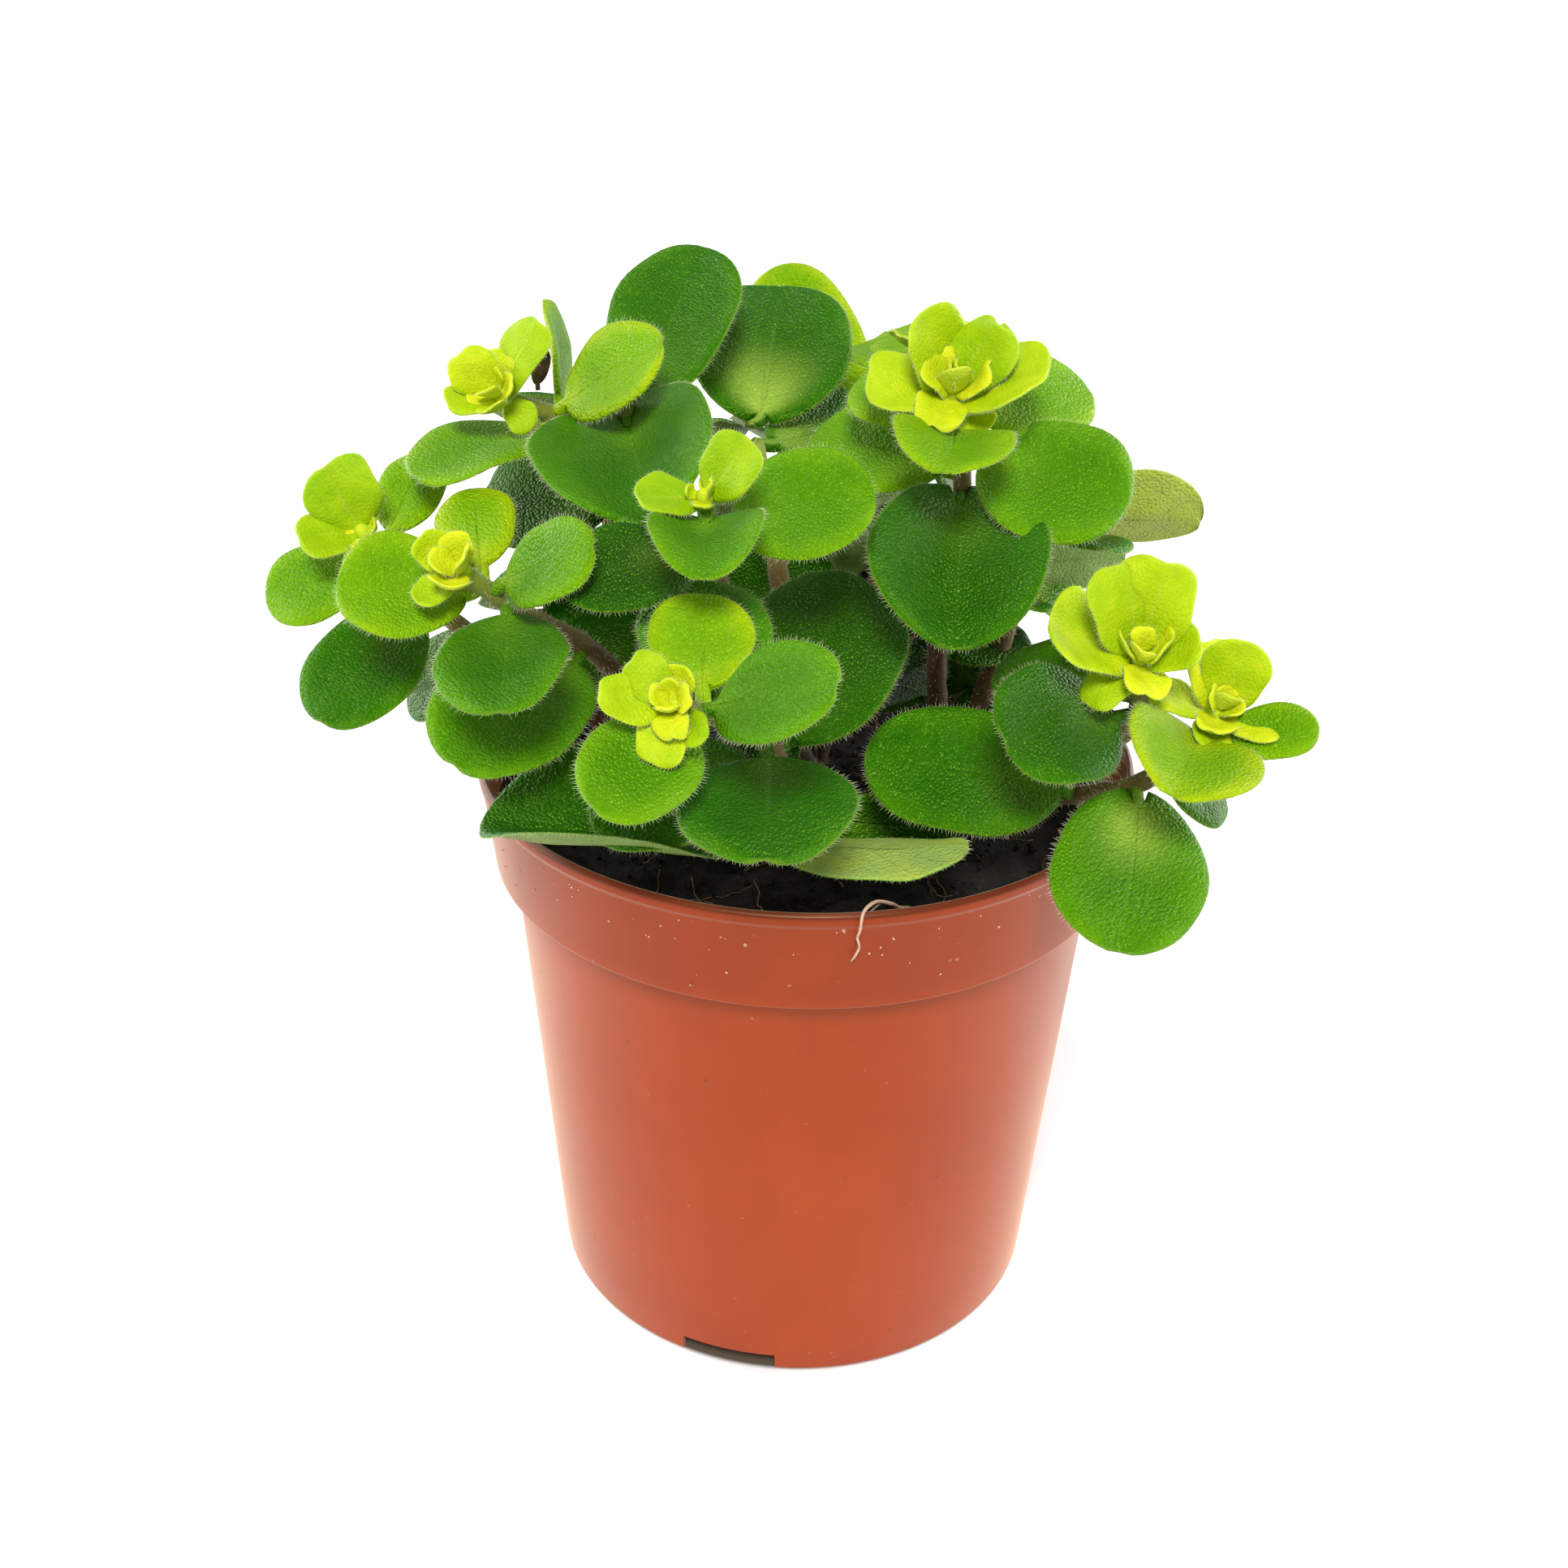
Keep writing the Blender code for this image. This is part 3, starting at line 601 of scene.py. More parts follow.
def read_leaf(corners, start, base):
    """The leaf that these solid corners show, when its stalk begins at base."""
    far = max((p - base).length for p in corners)
    tips = [p for p in corners if (p - base).length > far * TIP_SHARE]
    tip = sum(tips, Vector()) / len(tips)
    along = (tip - base).normalized()
    one = along.orthogonal().normalized()
    two = along.cross(one)
    flat = np.array([((p - base).dot(one), (p - base).dot(two)) for p in corners])
    flat = flat - flat.mean(0)
    values, vectors = np.linalg.eigh(flat.T @ flat)
    side = (one * vectors[0, 1] + two * vectors[1, 1]).normalized()
    upper = along.cross(side)
    length = (tip - base).length
    local = np.array([((p - base).dot(along), (p - base).dot(side), (p - base).dot(upper)) for p in corners])
    half = float(abs(local[:, 1]).max())
    share = (local[:, 0] / length).clip(0, 1)
    terms = np.stack([np.ones(len(local)), 4 * share * (1 - share), (local[:, 1] / half) ** 2], 1)
    fit = np.linalg.lstsq(terms, local[:, 2], rcond=None)[0]
    if fit[2] < 0:
        side, upper, fit = -side, -upper, -fit
    return Leaf(start, base, (along, side, upper), length, half, float(fit[2]) / half, float(fit[1]))


def read_single(node, branch):
    """The one leaf of a CAD leaf node."""
    corners = [v.co.copy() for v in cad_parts[node].data.vertices]
    path = PATHS[branch]
    gaps = [distance_to(path, p) for p in corners]
    ends = [p for p, gap in zip(corners, gaps) if gap < min(gaps) + SINGLE_END]
    base = sum(ends, Vector()) / len(ends)
    return read_leaf(corners, nearest_on(path, base), base)


def read_pair(node, branch):
    """The two leaves of a CAD node whose stalks meet in a ring."""
    corners = [v.co.copy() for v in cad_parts[node].data.vertices]
    path = PATHS[branch]
    ring = [p for p in corners if distance_to(path, p) < RING_REACH]
    centre = nearest_on(path, sum(ring, Vector()) / len(ring))
    spread = np.array([tuple(p - centre) for p in corners])
    main = Vector(np.linalg.eigh(spread.T @ spread)[1][:, 2])
    leaves = []
    for way in (main, -main):
        blade = [p for p in corners if (p - centre).dot(way) > BLADE_FROM]
        near = min((p - centre).length for p in blade)
        ends = [p for p in blade if (p - centre).length < near + PAIR_END]
        base = sum(ends, Vector()) / len(ends)
        leaves.append(read_leaf(blade, centre, base))
    return leaves


STALK_OUT = 2.1 * MM
PLAIN_CUP = 0.16
PLAIN_ARCH = 0.012
LEAVES_FACE = (-90, 50)


def grown_leaf(branch, at, heading, rise, length, width, roll):
    """A leaf that grows at this share of a branch, with angles in degrees and its length in mm."""
    node, tangent = at_share(PATHS[branch], at)
    out = direction(heading, rise)
    slant = max(0.5, (1 - out.dot(tangent) ** 2) ** 0.5)
    toward = direction(*LEAVES_FACE)
    upper = (toward - out * toward.dot(out)).normalized()
    upper = Matrix.Rotation(math.radians(roll), 3, out) @ upper
    reach = length * MM
    axes = (out, upper.cross(out), upper)
    return Leaf(node, node + out * STALK_OUT / slant, axes, reach, reach * width / 2, PLAIN_CUP, reach * PLAIN_ARCH)


ROWS = 24
COLUMNS = 16
PLAIN_EARS = 0.1
PLAIN_VEINS = 0.15


def add_blade(
    piece, leaf, youth, draws, thickness=LEAF_THICKNESS, lobes=PLAIN_EARS, fold=0.0, veined=PLAIN_VEINS, rows=ROWS,
    columns=COLUMNS, wave=1.0, curl=0.0, tip=TIP_ROUNDNESS,
):
    """Adds one closed fleshy leaf. Returns the points of its edge, their middle and its upper way, for its hairs."""
    bend = draws.uniform(-0.05, 0.05) * wave
    curl += draws.uniform(-0.22, 0.16) * wave
    lean = draws.uniform(-0.05, 0.05) * wave
    phase = draws.uniform(0, math.tau)
    shift = Vector((draws.uniform(-50, 50), draws.uniform(-50, 50), 0))
    length, half = leaf.length, leaf.half_width
    offset = (leaf.base - leaf.start).length
    blade_length = length - STALK * min(1, length / (14 * MM))
    stalk = length - blade_length
    stations = [(-offset, 0.0), (-offset * 0.4, 0.0), (stalk * 0.35, 0.0), (stalk * 0.8, 0.0)]
    for k in range(1, rows):
        share = (1 - math.cos(math.pi * k / rows)) / 2
        stations.append((stalk + blade_length * share, share))

    def spot(reach, share, across, face):
        stalk_half = min(STALK_HALF_WIDTH, half * 0.2) * (1 - share) ** 0.5
        ripple = 1 + 0.025 * wave * math.sin(3 * math.pi * share + phase + across)
        blade_half = half * FULLNESS * outline(share, tip) * ripple * (1 + lean * across)
        width = (stalk_half**3 + blade_half**3) ** (1 / 3)
        y = width * across
        v = y / half
        x = reach - lobes * half * across * across * (1 - share) ** 2 * (1 if share else 0)
        along = max(0.0, min(1.0, reach / length))
        cup = leaf.cup * half
        z = cup * ((1 - fold) * v * v + fold * abs(v) ** 1.2) + 4 * leaf.arch * along * (1 - along)
        z += curl * half * along**3 * (0.4 + abs(v)) - 0.06 * half * abs(across) ** 6
        spot_on = Vector((x, y, 0))
        swell = 0.85 * noise.noise(spot_on / (8 * MM) + shift) + 0.13 * noise.noise(spot_on / (2.2 * MM) + shift)
        z += swell * wave * MM * share**0.5
        roundness = 2 if share == 0 else 2 + 3 * min(1, share * 4)
        thick = thickness / 2 * max(0, 1 - abs(across) ** roundness) ** 0.5 * (1 - share**10) ** 0.5
        if share == 0:
            thick = STALK_HALF_WIDTH * 0.85 * max(0, 1 - across * across) ** 0.5 * min(1, half / (7 * MM))
        groove = math.exp(-((y / (0.55 * MM)) ** 2)) * min(1, share * 6) * (1 - share)
        z += thick - 0.22 * MM * groove if face > 0 else -thick - 0.25 * MM * groove
        y += bend * length * along * along
        along_point = leaf.base + leaf.along * x + leaf.side * y + leaf.upper * z
        if reach < 0:
            along_point = leaf.start + (leaf.base - leaf.start) * (1 + reach / max(offset, 1e-6)) + leaf.side * y
            along_point += leaf.upper * z
        return along_point

    crossings = [math.sin(math.pi / 2 * (2 * j / columns - 1)) for j in range(columns + 1)]
    tops, bottoms = [], []
    for reach, share in stations:
        top, bottom = [], []
        for j, across in enumerate(crossings):
            facts = dict(along=max(0, reach / length), across=across, youth=youth, veined=veined)
            if j in (0, columns):
                top.append(piece.corner(spot(reach, share, across, 1), under=0.5, **facts))
                bottom.append(top[-1])
            else:
                top.append(piece.corner(spot(reach, share, across, 1), under=0.0, **facts))
                bottom.append(piece.corner(spot(reach, share, across, -1), under=1.0, **facts))
        tops.append(top)
        bottoms.append(bottom)
    end = piece.corner(spot(length, 1.0 - 1e-6, 0, 1), along=1.0, youth=youth, under=0.5, veined=veined)
    for one, two, low, high in zip(tops, tops[1:], bottoms, bottoms[1:]):
        for j in range(columns):
            piece.faces.append((one[j], two[j], two[j + 1], one[j + 1]))
            piece.faces.append((low[j], low[j + 1], high[j + 1], high[j]))
    for j in range(columns):
        piece.faces.append((tops[-1][j], end, tops[-1][j + 1]))
        piece.faces.append((bottoms[-1][j + 1], end, bottoms[-1][j]))
    piece.faces.append(tuple(tops[0]) + tuple(reversed(bottoms[0][1:-1])))
    edge_points = [piece.points[row[0]] for row in tops[3:]] + [piece.points[end]]
    edge_points += [piece.points[row[-1]] for row in reversed(tops[3:])]
    centre = sum(edge_points, Vector()) / len(edge_points)
    return edge_points, centre, leaf.upper


HAIR_SPACING = 0.34 * MM


def add_edge_hairs(hairs, edge, draws, length=0.72 * MM, radius=0.028 * MM):
    """Fine hairs that stand out round a blade's edge."""
    points, centre, upper = edge
    left = draws.uniform(0, HAIR_SPACING)
    for one, two in zip(points, points[1:]):
        step = two - one
        span = step.length
        while left < span:
            root = one + step * (left / span)
            out = step.cross(upper)
            if out.dot(root - centre) < 0:
                out = -out
            out = out.normalized() + upper * draws.uniform(-0.35, 0.45) + step.normalized() * draws.uniform(-0.4, 0.4)
            add_hair(hairs, root, out.normalized(), length * draws.uniform(0.55, 1.25), radius)
            left += HAIR_SPACING * draws.uniform(0.6, 1.5)
        left -= span


# How young each leaf looks, from 0 for old and dark to 1 for lime. A leaf that isn't named here has OLD.
OLD = 0.25
YOUTH = {
    "leaf_upper_left_1": 0.78, "leaf_upper_left_2": 0.68, "leaf_upper_left_3": 0.7,
    "leaf_broken_1": 0.42, "leaf_broken_2": 0.3, "leaf_top_1": 0.24, "leaf_top_2": 0.3,
    "leaf_left_outer_1": 0.72, "leaf_left_outer_2": 0.68, "leaf_left_outer_3": 0.32,
    "leaf_left_front_1": 0.82, "leaf_left_front_2": 0.74, "leaf_left_front_3": 0.6,
    "leaf_left_front_4": 0.42, "leaf_left_front_5": 0.5,
    "leaf_centre_front_1": 0.56, "leaf_centre_front_2": 0.12, "leaf_centre_front_3": 0.52,
    "leaf_front_1": 0.78, "leaf_front_2": 0.4, "leaf_front_3": 0.52, "leaf_front_4": 0.6,
    "leaf_front_5": 0.22, "leaf_front_6": 0.28, "leaf_front_7": 0.14,
    "leaf_low_front_1": 0.16, "leaf_low_front_2": 0.5,
    "leaf_upper_right_1": 0.7, "leaf_upper_right_2": 0.72, "leaf_upper_right_3": 0.7,
    "leaf_upper_right_4": 0.55, "leaf_upper_right_5": 0.66, "leaf_upper_right_6": 0.22,
    "leaf_right_front_1": 0.24, "leaf_right_outer_1": 0.82, "leaf_right_outer_2": 0.68,
    "leaf_right_outer_3": 0.5, "leaf_right_outer_4": 0.35, "leaf_right_back_1": 0.62,
    "leaf_back_right_1": 0.72,
}

# Leaves whose halves fold up from the midrib, and leaves whose base has ears beside the stalk.
FOLDED = {
    "leaf_broken_1": 0.9, "leaf_upper_right_6": 0.9, "leaf_centre_front_3": 0.6, "leaf_upper_right_3": 0.7,
    "leaf_right_outer_1": 0.7,
}
EARED = {
    "leaf_broken_1": 0.7, "leaf_upper_right_6": 0.35, "leaf_centre_front_3": 0.5, "leaf_right_outer_1": 0.4,
    "leaf_right_outer_3": 0.35,
}
# Leaves that are cupped this many times deeper than their solid, and leaves that look up, with their roll in degrees.
DEEPER = {"leaf_low_front_1": 3.0, "leaf_broken_1": 1.3, "leaf_upper_right_6": 1.7}
FACING_UP = {"leaf_low_front_1": -9}
# Leaves that differ a little from their solid: a turn in degrees and the shares of its width and length.
SWUNG = {
    "leaf_broken_2": (-14, 0.8, 1.08), "leaf_broken_1": (0, 0.92, 1.0), "leaf_right_outer_3": (0, 0.87, 1.0),
    "leaf_left_front_4": (0, 0.95, 1.08),
}
# Leaves whose veins and pale base show plainly.
VEINED = {
    "leaf_top_1": 1.0, "leaf_top_2": 0.6, "leaf_right_outer_3": 0.9, "leaf_right_back_1": 1.0,
    "leaf_low_front_2": 0.8,
}

# More leaves that have no solid of their own, most of them inside the plant. Each: its branch, the share of the branch
# where it grows, heading, rise, length in mm, width as a share of it, roll and youth.
EXTRA_LEAVES = [
    ("upper_left", 0.62, 150, -3, 21, 0.85, 0, 0.12),
    ("left_outer", 0.62, 154, -34, 15, 0.8, 0, 0.2),
    ("top", 0.35, 107, 24, 21, 0.85, 0, 0.1),
    ("back_right", 0.6, 123, -14, 18, 0.6, 150, 0.15),
    ("back_right", 0.7, 107, -5, 14, 0.7, 140, 0.15),
    ("back_right", 0.5, 81, -3, 15, 0.7, 120, 0.1),
    ("right_back", 0.78, 36, -9, 17, 0.7, -110, 0.2),
    ("right_back", 0.7, 44, -22, 14, 0.75, 0, 0.6),
    ("right_front", 0.9, 134, -10, 21, 0.6, 0, 0.5),
    ("low_front", 0.6, 15, -13, 24, 0.4, 40, 0.35),
    ("right_outer", 0.8, 31, -30, 12, 0.8, 0, 0.35),
    ("back_right", 0.8, 57, -38, 17, 0.9, 0, 0.12),
    ("upper_right", 0.62, 115, 13, 14, 0.9, 0, 0.12),
    ("back", 0.95, 131, 50, 28, 0.6, 0, 0.8),
    ("back_right", 0.98, 118, 8, 14, 0.85, 0, 0.82),
    ("left_front", 0.4, 123, 10, 18, 0.85, 0, 0.1),
    ("left_front", 0.5, -50, 15, 15, 0.85, 0, 0.15),
    ("broken", 0.38, 123, 18, 19, 0.85, 0, 0.08),
    ("back_left", 0.4, 155, 37, 17, 0.85, 0, 0.1),
    ("right_back", 0.4, 121, -2, 17, 0.85, 0, 0.06),
    ("upper_right", 0.4, 57, -2, 17, 0.85, 0, 0.08),
    ("upper_right", 0.3, 113, -18, 15, 0.85, 0, 0.06),
    ("right_front", 0.4, 98, 15, 14, 0.85, 0, 0.1),
    ("centre_front", 0.5, 130, 1, 14, 0.85, 0, 0.1),
    ("centre_front", 0.4, 61, -20, 14, 0.85, 0, 0.08),
    ("front", 0.35, 126, 1, 16, 0.85, 0, 0.1),
    ("back", 0.6, 129, 17, 19, 0.85, 0, 0.12),
    ("back", 0.5, 50, 7, 17, 0.85, 0, 0.1),
    ("left_outer", 0.4, 122, 21, 16, 0.85, 0, 0.1),
]

# Young tips. Each: its outer leaves as (heading, rise, length in mm, width share), the length of the first pair round
# its bud, how many pairs the bud has, the way it opens as (heading, rise), and how young the outer leaves look.
ROSETTES = {
    "upper_left": (
        [(-150, 0, 7, 0.8), (-159, 53, 7.5, 0.8), (-6, 66, 10.5, 0.65), (-34, -30, 5, 0.8)],
        5.5, 3, (-110, 45), 0.85,
    ),
    "left_outer": ([(-160, 61, 9.5, 0.95), (-149, 12, 8.5, 0.8), (-119, -37, 4.5, 0.8)], 4, 2, (-100, 45), 0.8),
    "left_front": ([(-166, 55, 6, 0.8), (-139, -17, 6.2, 0.7)], 5, 2, (-80, 45), 0.88),
    "centre_front": ([(-6, 56, 9, 0.85), (-158, 9, 7.8, 0.85)], 2.8, 2, (-85, 50), 0.8),
    "front": (
        [(-162, 20, 9, 0.6), (-120, -36, 7, 0.85), (-172, 46, 7, 0.7), (-55, -20, 6, 0.6)],
        4.5, 3, (-110, 45), 0.85,
    ),
    "upper_right": (
        [(-168, 20, 10.5, 0.85), (-22, 25, 13, 0.8), (-170, 62, 11, 0.85), (-22, 69, 10.5, 0.85), (-60, -30, 6, 0.9)],
        7.5, 4, (-85, 50), 0.84,
    ),
    "right_front": (
        [(-178, 26, 12.5, 0.85), (-4, 79, 12.5, 0.8), (-21, 30, 8, 0.85), (-150, -20, 8, 0.7), (163, 79, 12, 0.8)],
        6, 3, (-80, 50), 0.88,
    ),
    "right_outer": (
        [(178, 27, 8.5, 0.7), (-9, 68, 10, 0.8), (-36, 1, 8.5, 0.5), (147, 79, 8.5, 0.8), (-100, -20, 6, 0.8)],
        5, 3, (-70, 50), 0.95,
    ),
    "back_right": ([(20, 30, 9, 0.85), (200, 30, 9, 0.85)], 7, 3, (90, 75), 0.75),
    "back": ([(80, 35, 10, 0.85), (260, 35, 10, 0.85)], 7.5, 4, (90, 60), 0.72),
    "back_left": ([(100, 30, 9, 0.85), (-80, 30, 9, 0.85)], 7, 4, (100, 65), 0.75),
    "right_back": ([(30, 30, 10, 0.85), (210, 30, 10, 0.85)], 7, 3, (60, 60), 0.72),
}


def make_leaves(leaf_skin, hair_skin):
    """A blade for each leaf solid, the extra leaves, and the hairs round their edges."""
    hairs = {name: Piece() for name in BRANCHES}
    for node in sorted(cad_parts):
        if not node.startswith("leaf_"):
            continue
        paired = node.startswith("leaf_pair_")
        branch = node.replace("leaf_pair_", "").replace("leaf_", "").rsplit("_", 1)[0]
        draws = random.Random(node)
        piece = Piece()
        for leaf in read_pair(node, branch) if paired else [read_single(node, branch)]:
            youth = YOUTH.get(node, OLD) + draws.uniform(-0.03, 0.03)
            leaf.cup *= DEEPER.get(node, draws.uniform(0.8, 1.3))
            if node in FACING_UP:
                leaf.face_up(FACING_UP[node])
            if node in SWUNG:
                leaf.swing(*SWUNG[node])
            edge = add_blade(
                piece, leaf, youth, draws, lobes=EARED.get(node, PLAIN_EARS),
                fold=FOLDED.get(node, draws.uniform(0, 0.5)), veined=VEINED.get(node, PLAIN_VEINS),
            )
            add_edge_hairs(hairs[branch], edge, draws)
        made = piece.made(node.replace("leaf_", "blade_"), leaf_skin, "leaf")
        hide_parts(node)
    for number, (branch, at, heading, rise, length, width, roll, youth) in enumerate(EXTRA_LEAVES, 1):
        draws = random.Random(number)
        leaf = grown_leaf(branch, at, heading, rise, length, width, roll)
        piece = Piece()
        add_edge_hairs(hairs[branch], add_blade(piece, leaf, youth, draws), draws)
        piece.made(f"inner_blade_{number:02d}", leaf_skin, "leaf")
    for name, piece in hairs.items():
        if piece.points:
            piece.made(f"leaf_hairs_{name}", hair_skin, "leaf", smooth=False)


SMALL_ROWS = 16
SMALL_COLUMNS = 12
OPEN_CUP = 0.26
BUD_CUP = 0.36


def make_rosettes(young_skin, hair_skin):
    """The tips of the branches, each with its open young leaves and the pairs of its bud."""
    for name, (petals, bud_size, bud_pairs, opening, youth) in ROSETTES.items():
        end, tangent = at_share(PATHS[name], 1)
        draws = random.Random(name)
        axis = (tangent * 0.35 + direction(*opening)).normalized()
        piece, hairs = Piece(), Piece()

        def add_young(start, out, length, width, tone, cup):
            upper = (axis - out * axis.dot(out)).normalized()
            axes = (out, upper.cross(out), upper)
            leaf = Leaf(start, start + out * 0.5 * MM, axes, length, length * width / 2, cup, -0.04 * length)
            thickness = (0.5 + 0.4 * min(1, length / (9 * MM))) * MM
            edge = add_blade(
                piece, leaf, tone, draws, thickness=thickness, lobes=0.2, rows=SMALL_ROWS, columns=SMALL_COLUMNS,
                wave=2.6, curl=-0.12, tip=0.36,
            )
            add_edge_hairs(hairs, edge, draws, length=0.5 * MM, radius=0.026 * MM)

        for heading, rise, length, width in petals:
            tone = youth - 0.06 + draws.uniform(-0.1, 0.1)
            add_young(end, direction(heading, rise), length * MM, width * 1.05, tone, OPEN_CUP)
        side = axis.orthogonal().normalized()
        for number in range(bud_pairs):
            lift = math.radians(34 + 17 * number + draws.uniform(-8, 8))
            for half in range(2):
                turn = math.radians(35 + 90 * number + 180 * half + draws.uniform(-14, 14))
                out = (Matrix.Rotation(turn, 3, axis) @ side) * math.cos(lift) + axis * math.sin(lift)
                length = bud_size * 0.78**number * draws.uniform(0.88, 1.12) * MM
                tone = min(0.97, youth + 0.1 + 0.05 * number) + draws.uniform(-0.06, 0.04)
                add_young(end + axis * 0.5 * number * MM, out, length, draws.uniform(0.8, 1.0), tone, BUD_CUP)
        heart = [end - tangent * 0.8 * MM, end + axis * 0.8 * MM, end + axis * 1.8 * MM]
        add_tube(piece, heart, [1.3 * MM, 1.2 * MM, 0.5 * MM], youths=[0.7, 0.8, 0.9])
        made = piece.made(f"rosette_{name}", young_skin, "young_leaf")
        if f"tip_{name}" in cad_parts:
            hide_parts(f"tip_{name}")
        hairs.made(f"rosette_hairs_{name}", hair_skin, "young_leaf", smooth=False)


# Branches that end before the end of their path, in the leaves that grow there.
STUBS = {"top": 0.86, "low_front": 0.97}
STEM_RADIUS = 1.5
STEM_TAPER = 0.35
JOINT_SWELL = 0.25
JOINTS = 4.5
HAIR_DEPTH = 0.05
HAIRS_PER_STEP = 9
CROWN_RADII = (3.2, 3.3, 3.3, 3.2, 3.0, 2.5, 1.2)
CROWN_STEP = 2 * MM


def make_stems(stem_skin, hair_skin):
    """The branches of each cutting, with their crown and their hairs."""
    for crown in CROWNS:
        piece, hairs = Piece(), Piece()
        draws = random.Random(crown)
        for name, (root, _) in BRANCHES.items():
            if root != crown:
                continue
            shown = round(len(PATHS[name]) * STUBS.get(name, 1))
            path = PATHS[name][:shown]
            count = len(path)
            radii, youths = [], []
            for k in range(count):
                share = k / (count - 1)
                joint = max(0, math.cos(share * math.tau * JOINTS)) ** 12
                radii.append((STEM_RADIUS - STEM_TAPER * share + JOINT_SWELL * joint) * MM)
                youths.append(min(1, 0.1 + 0.8 * share**1.5))
            add_tube(piece, path, radii, sides=12, youths=youths, lumps=0.12, seed=draws.uniform(0, 50))
            for _ in range(count * HAIRS_PER_STEP):
                share = draws.uniform(0.1, 0.97)
                spot, tangent = at_share(path, share)
                turn = Matrix.Rotation(draws.uniform(0, math.tau), 3, tangent)
                out = turn @ tangent.orthogonal().normalized()
                way = (out + tangent * draws.uniform(-0.2, 0.5)).normalized()
                skin = spot + out * (STEM_RADIUS - HAIR_DEPTH - STEM_TAPER * share) * MM
                add_hair(hairs, skin, way, draws.uniform(0.5, 1.1) * MM, 0.04 * MM)
        x, y = (c * MM for c in CROWNS[crown])
        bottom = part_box(f"stems_{crown}")[0].z
        foot = [Vector((x, y, bottom + step * CROWN_STEP)) for step in range(len(CROWN_RADII))]
        youths = [0.05] * len(foot)
        add_tube(piece, foot, [r * MM for r in CROWN_RADII], sides=18, youths=youths, lumps=0.25, seed=9)
        made = piece.made(f"stems_of_{crown}_cutting", stem_skin, "stem")
        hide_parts(f"stems_{crown}")
        hairs.made(f"stem_hairs_{crown}", hair_skin, "stem", smooth=False)


# ---------------------------------------------------------------- pot and peat


def turned(name, profile, steps):
    """A closed profile of (radius, height) turned about the pot's axis, on which its points may lie."""
    shape = bmesh.new()
    rings = []
    for radius, height in profile:
        if radius < 1e-6:
            rings.append([shape.verts.new((0, 0, height))])
        else:
            rings.append([shape.verts.new((x, y, height)) for x, y in circle(radius, steps)])
    for one, two in zip(rings, rings[1:] + rings[:1]):
        for k in range(steps):
            after = (k + 1) % steps
            corners = [one[k % len(one)], one[after % len(one)], two[after % len(two)], two[k % len(two)]]
            unique = [c for i, c in enumerate(corners) if c not in corners[:i]]
            if len(unique) > 2:
                shape.faces.new(unique)
    bmesh.ops.recalc_face_normals(shape, faces=shape.faces)
    mesh = bpy.data.meshes.new(name)
    shape.to_mesh(mesh)
    shape.free()
    return linked(name, mesh)


def rounded(profile, radius, steps=4):
    """The profile with each corner rounded by about radius."""
    smooth = [profile[0]]
    for before, corner, after in zip(profile, profile[1:], profile[2:]):
        before, corner, after = Vector(before), Vector(corner), Vector(after)
        back, ahead = before - corner, after - corner
        cut = min(radius, back.length * 0.45, ahead.length * 0.45)
        start, stop = corner + back.normalized() * cut, corner + ahead.normalized() * cut
        for k in range(steps + 1):
            t = k / steps
            smooth.append(tuple(start * (1 - t) ** 2 + corner * 2 * t * (1 - t) + stop * t * t))
    smooth.append(profile[-1])
    return smooth


POT_HEIGHT = 82 * MM
RIM_RADIUS = 45 * MM
COLLAR_FOOT = 67.3 * MM
COLLAR_RADIUS = 43.3 * MM
FOOT_RADIUS = 35.4 * MM
BODY_TOP_RADIUS = 40.7 * MM
WALL = 1.1 * MM
FLOOR_LIFT = 3.2 * MM
HUB_RADIUS = 11 * MM
# Below its bead the rim narrows to a neck, from which the collar tapers down to its foot.
BEAD_FOOT = POT_HEIGHT - 2.1 * MM
NECK_RADIUS = RIM_RADIUS - 0.35 * MM
POT_STEPS = 144
NOTCHES = 3
FIRST_NOTCH = -105
NOTCH_SIZE = (6.6 * MM, 13.6 * MM, 5.6 * MM)
DRAIN_HOLES = 6
DRAIN_RING_RADIUS = 20 * MM
DRAIN_RADIUS = 1.8 * MM
SHARP_EDGE = 38


def body_radius(height, inside=0):
    """The body's outer radius at this height, less how far inside it the point lies."""
    return FOOT_RADIUS + (BODY_TOP_RADIUS - FOOT_RADIUS) * height / COLLAR_FOOT - inside


def cut(target, cutter):
    """Takes the cutter's shape away from the target."""
    step = target.modifiers.new("cut", "BOOLEAN")
    step.operation = "DIFFERENCE"
    step.solver = "EXACT"
    step.object = cutter


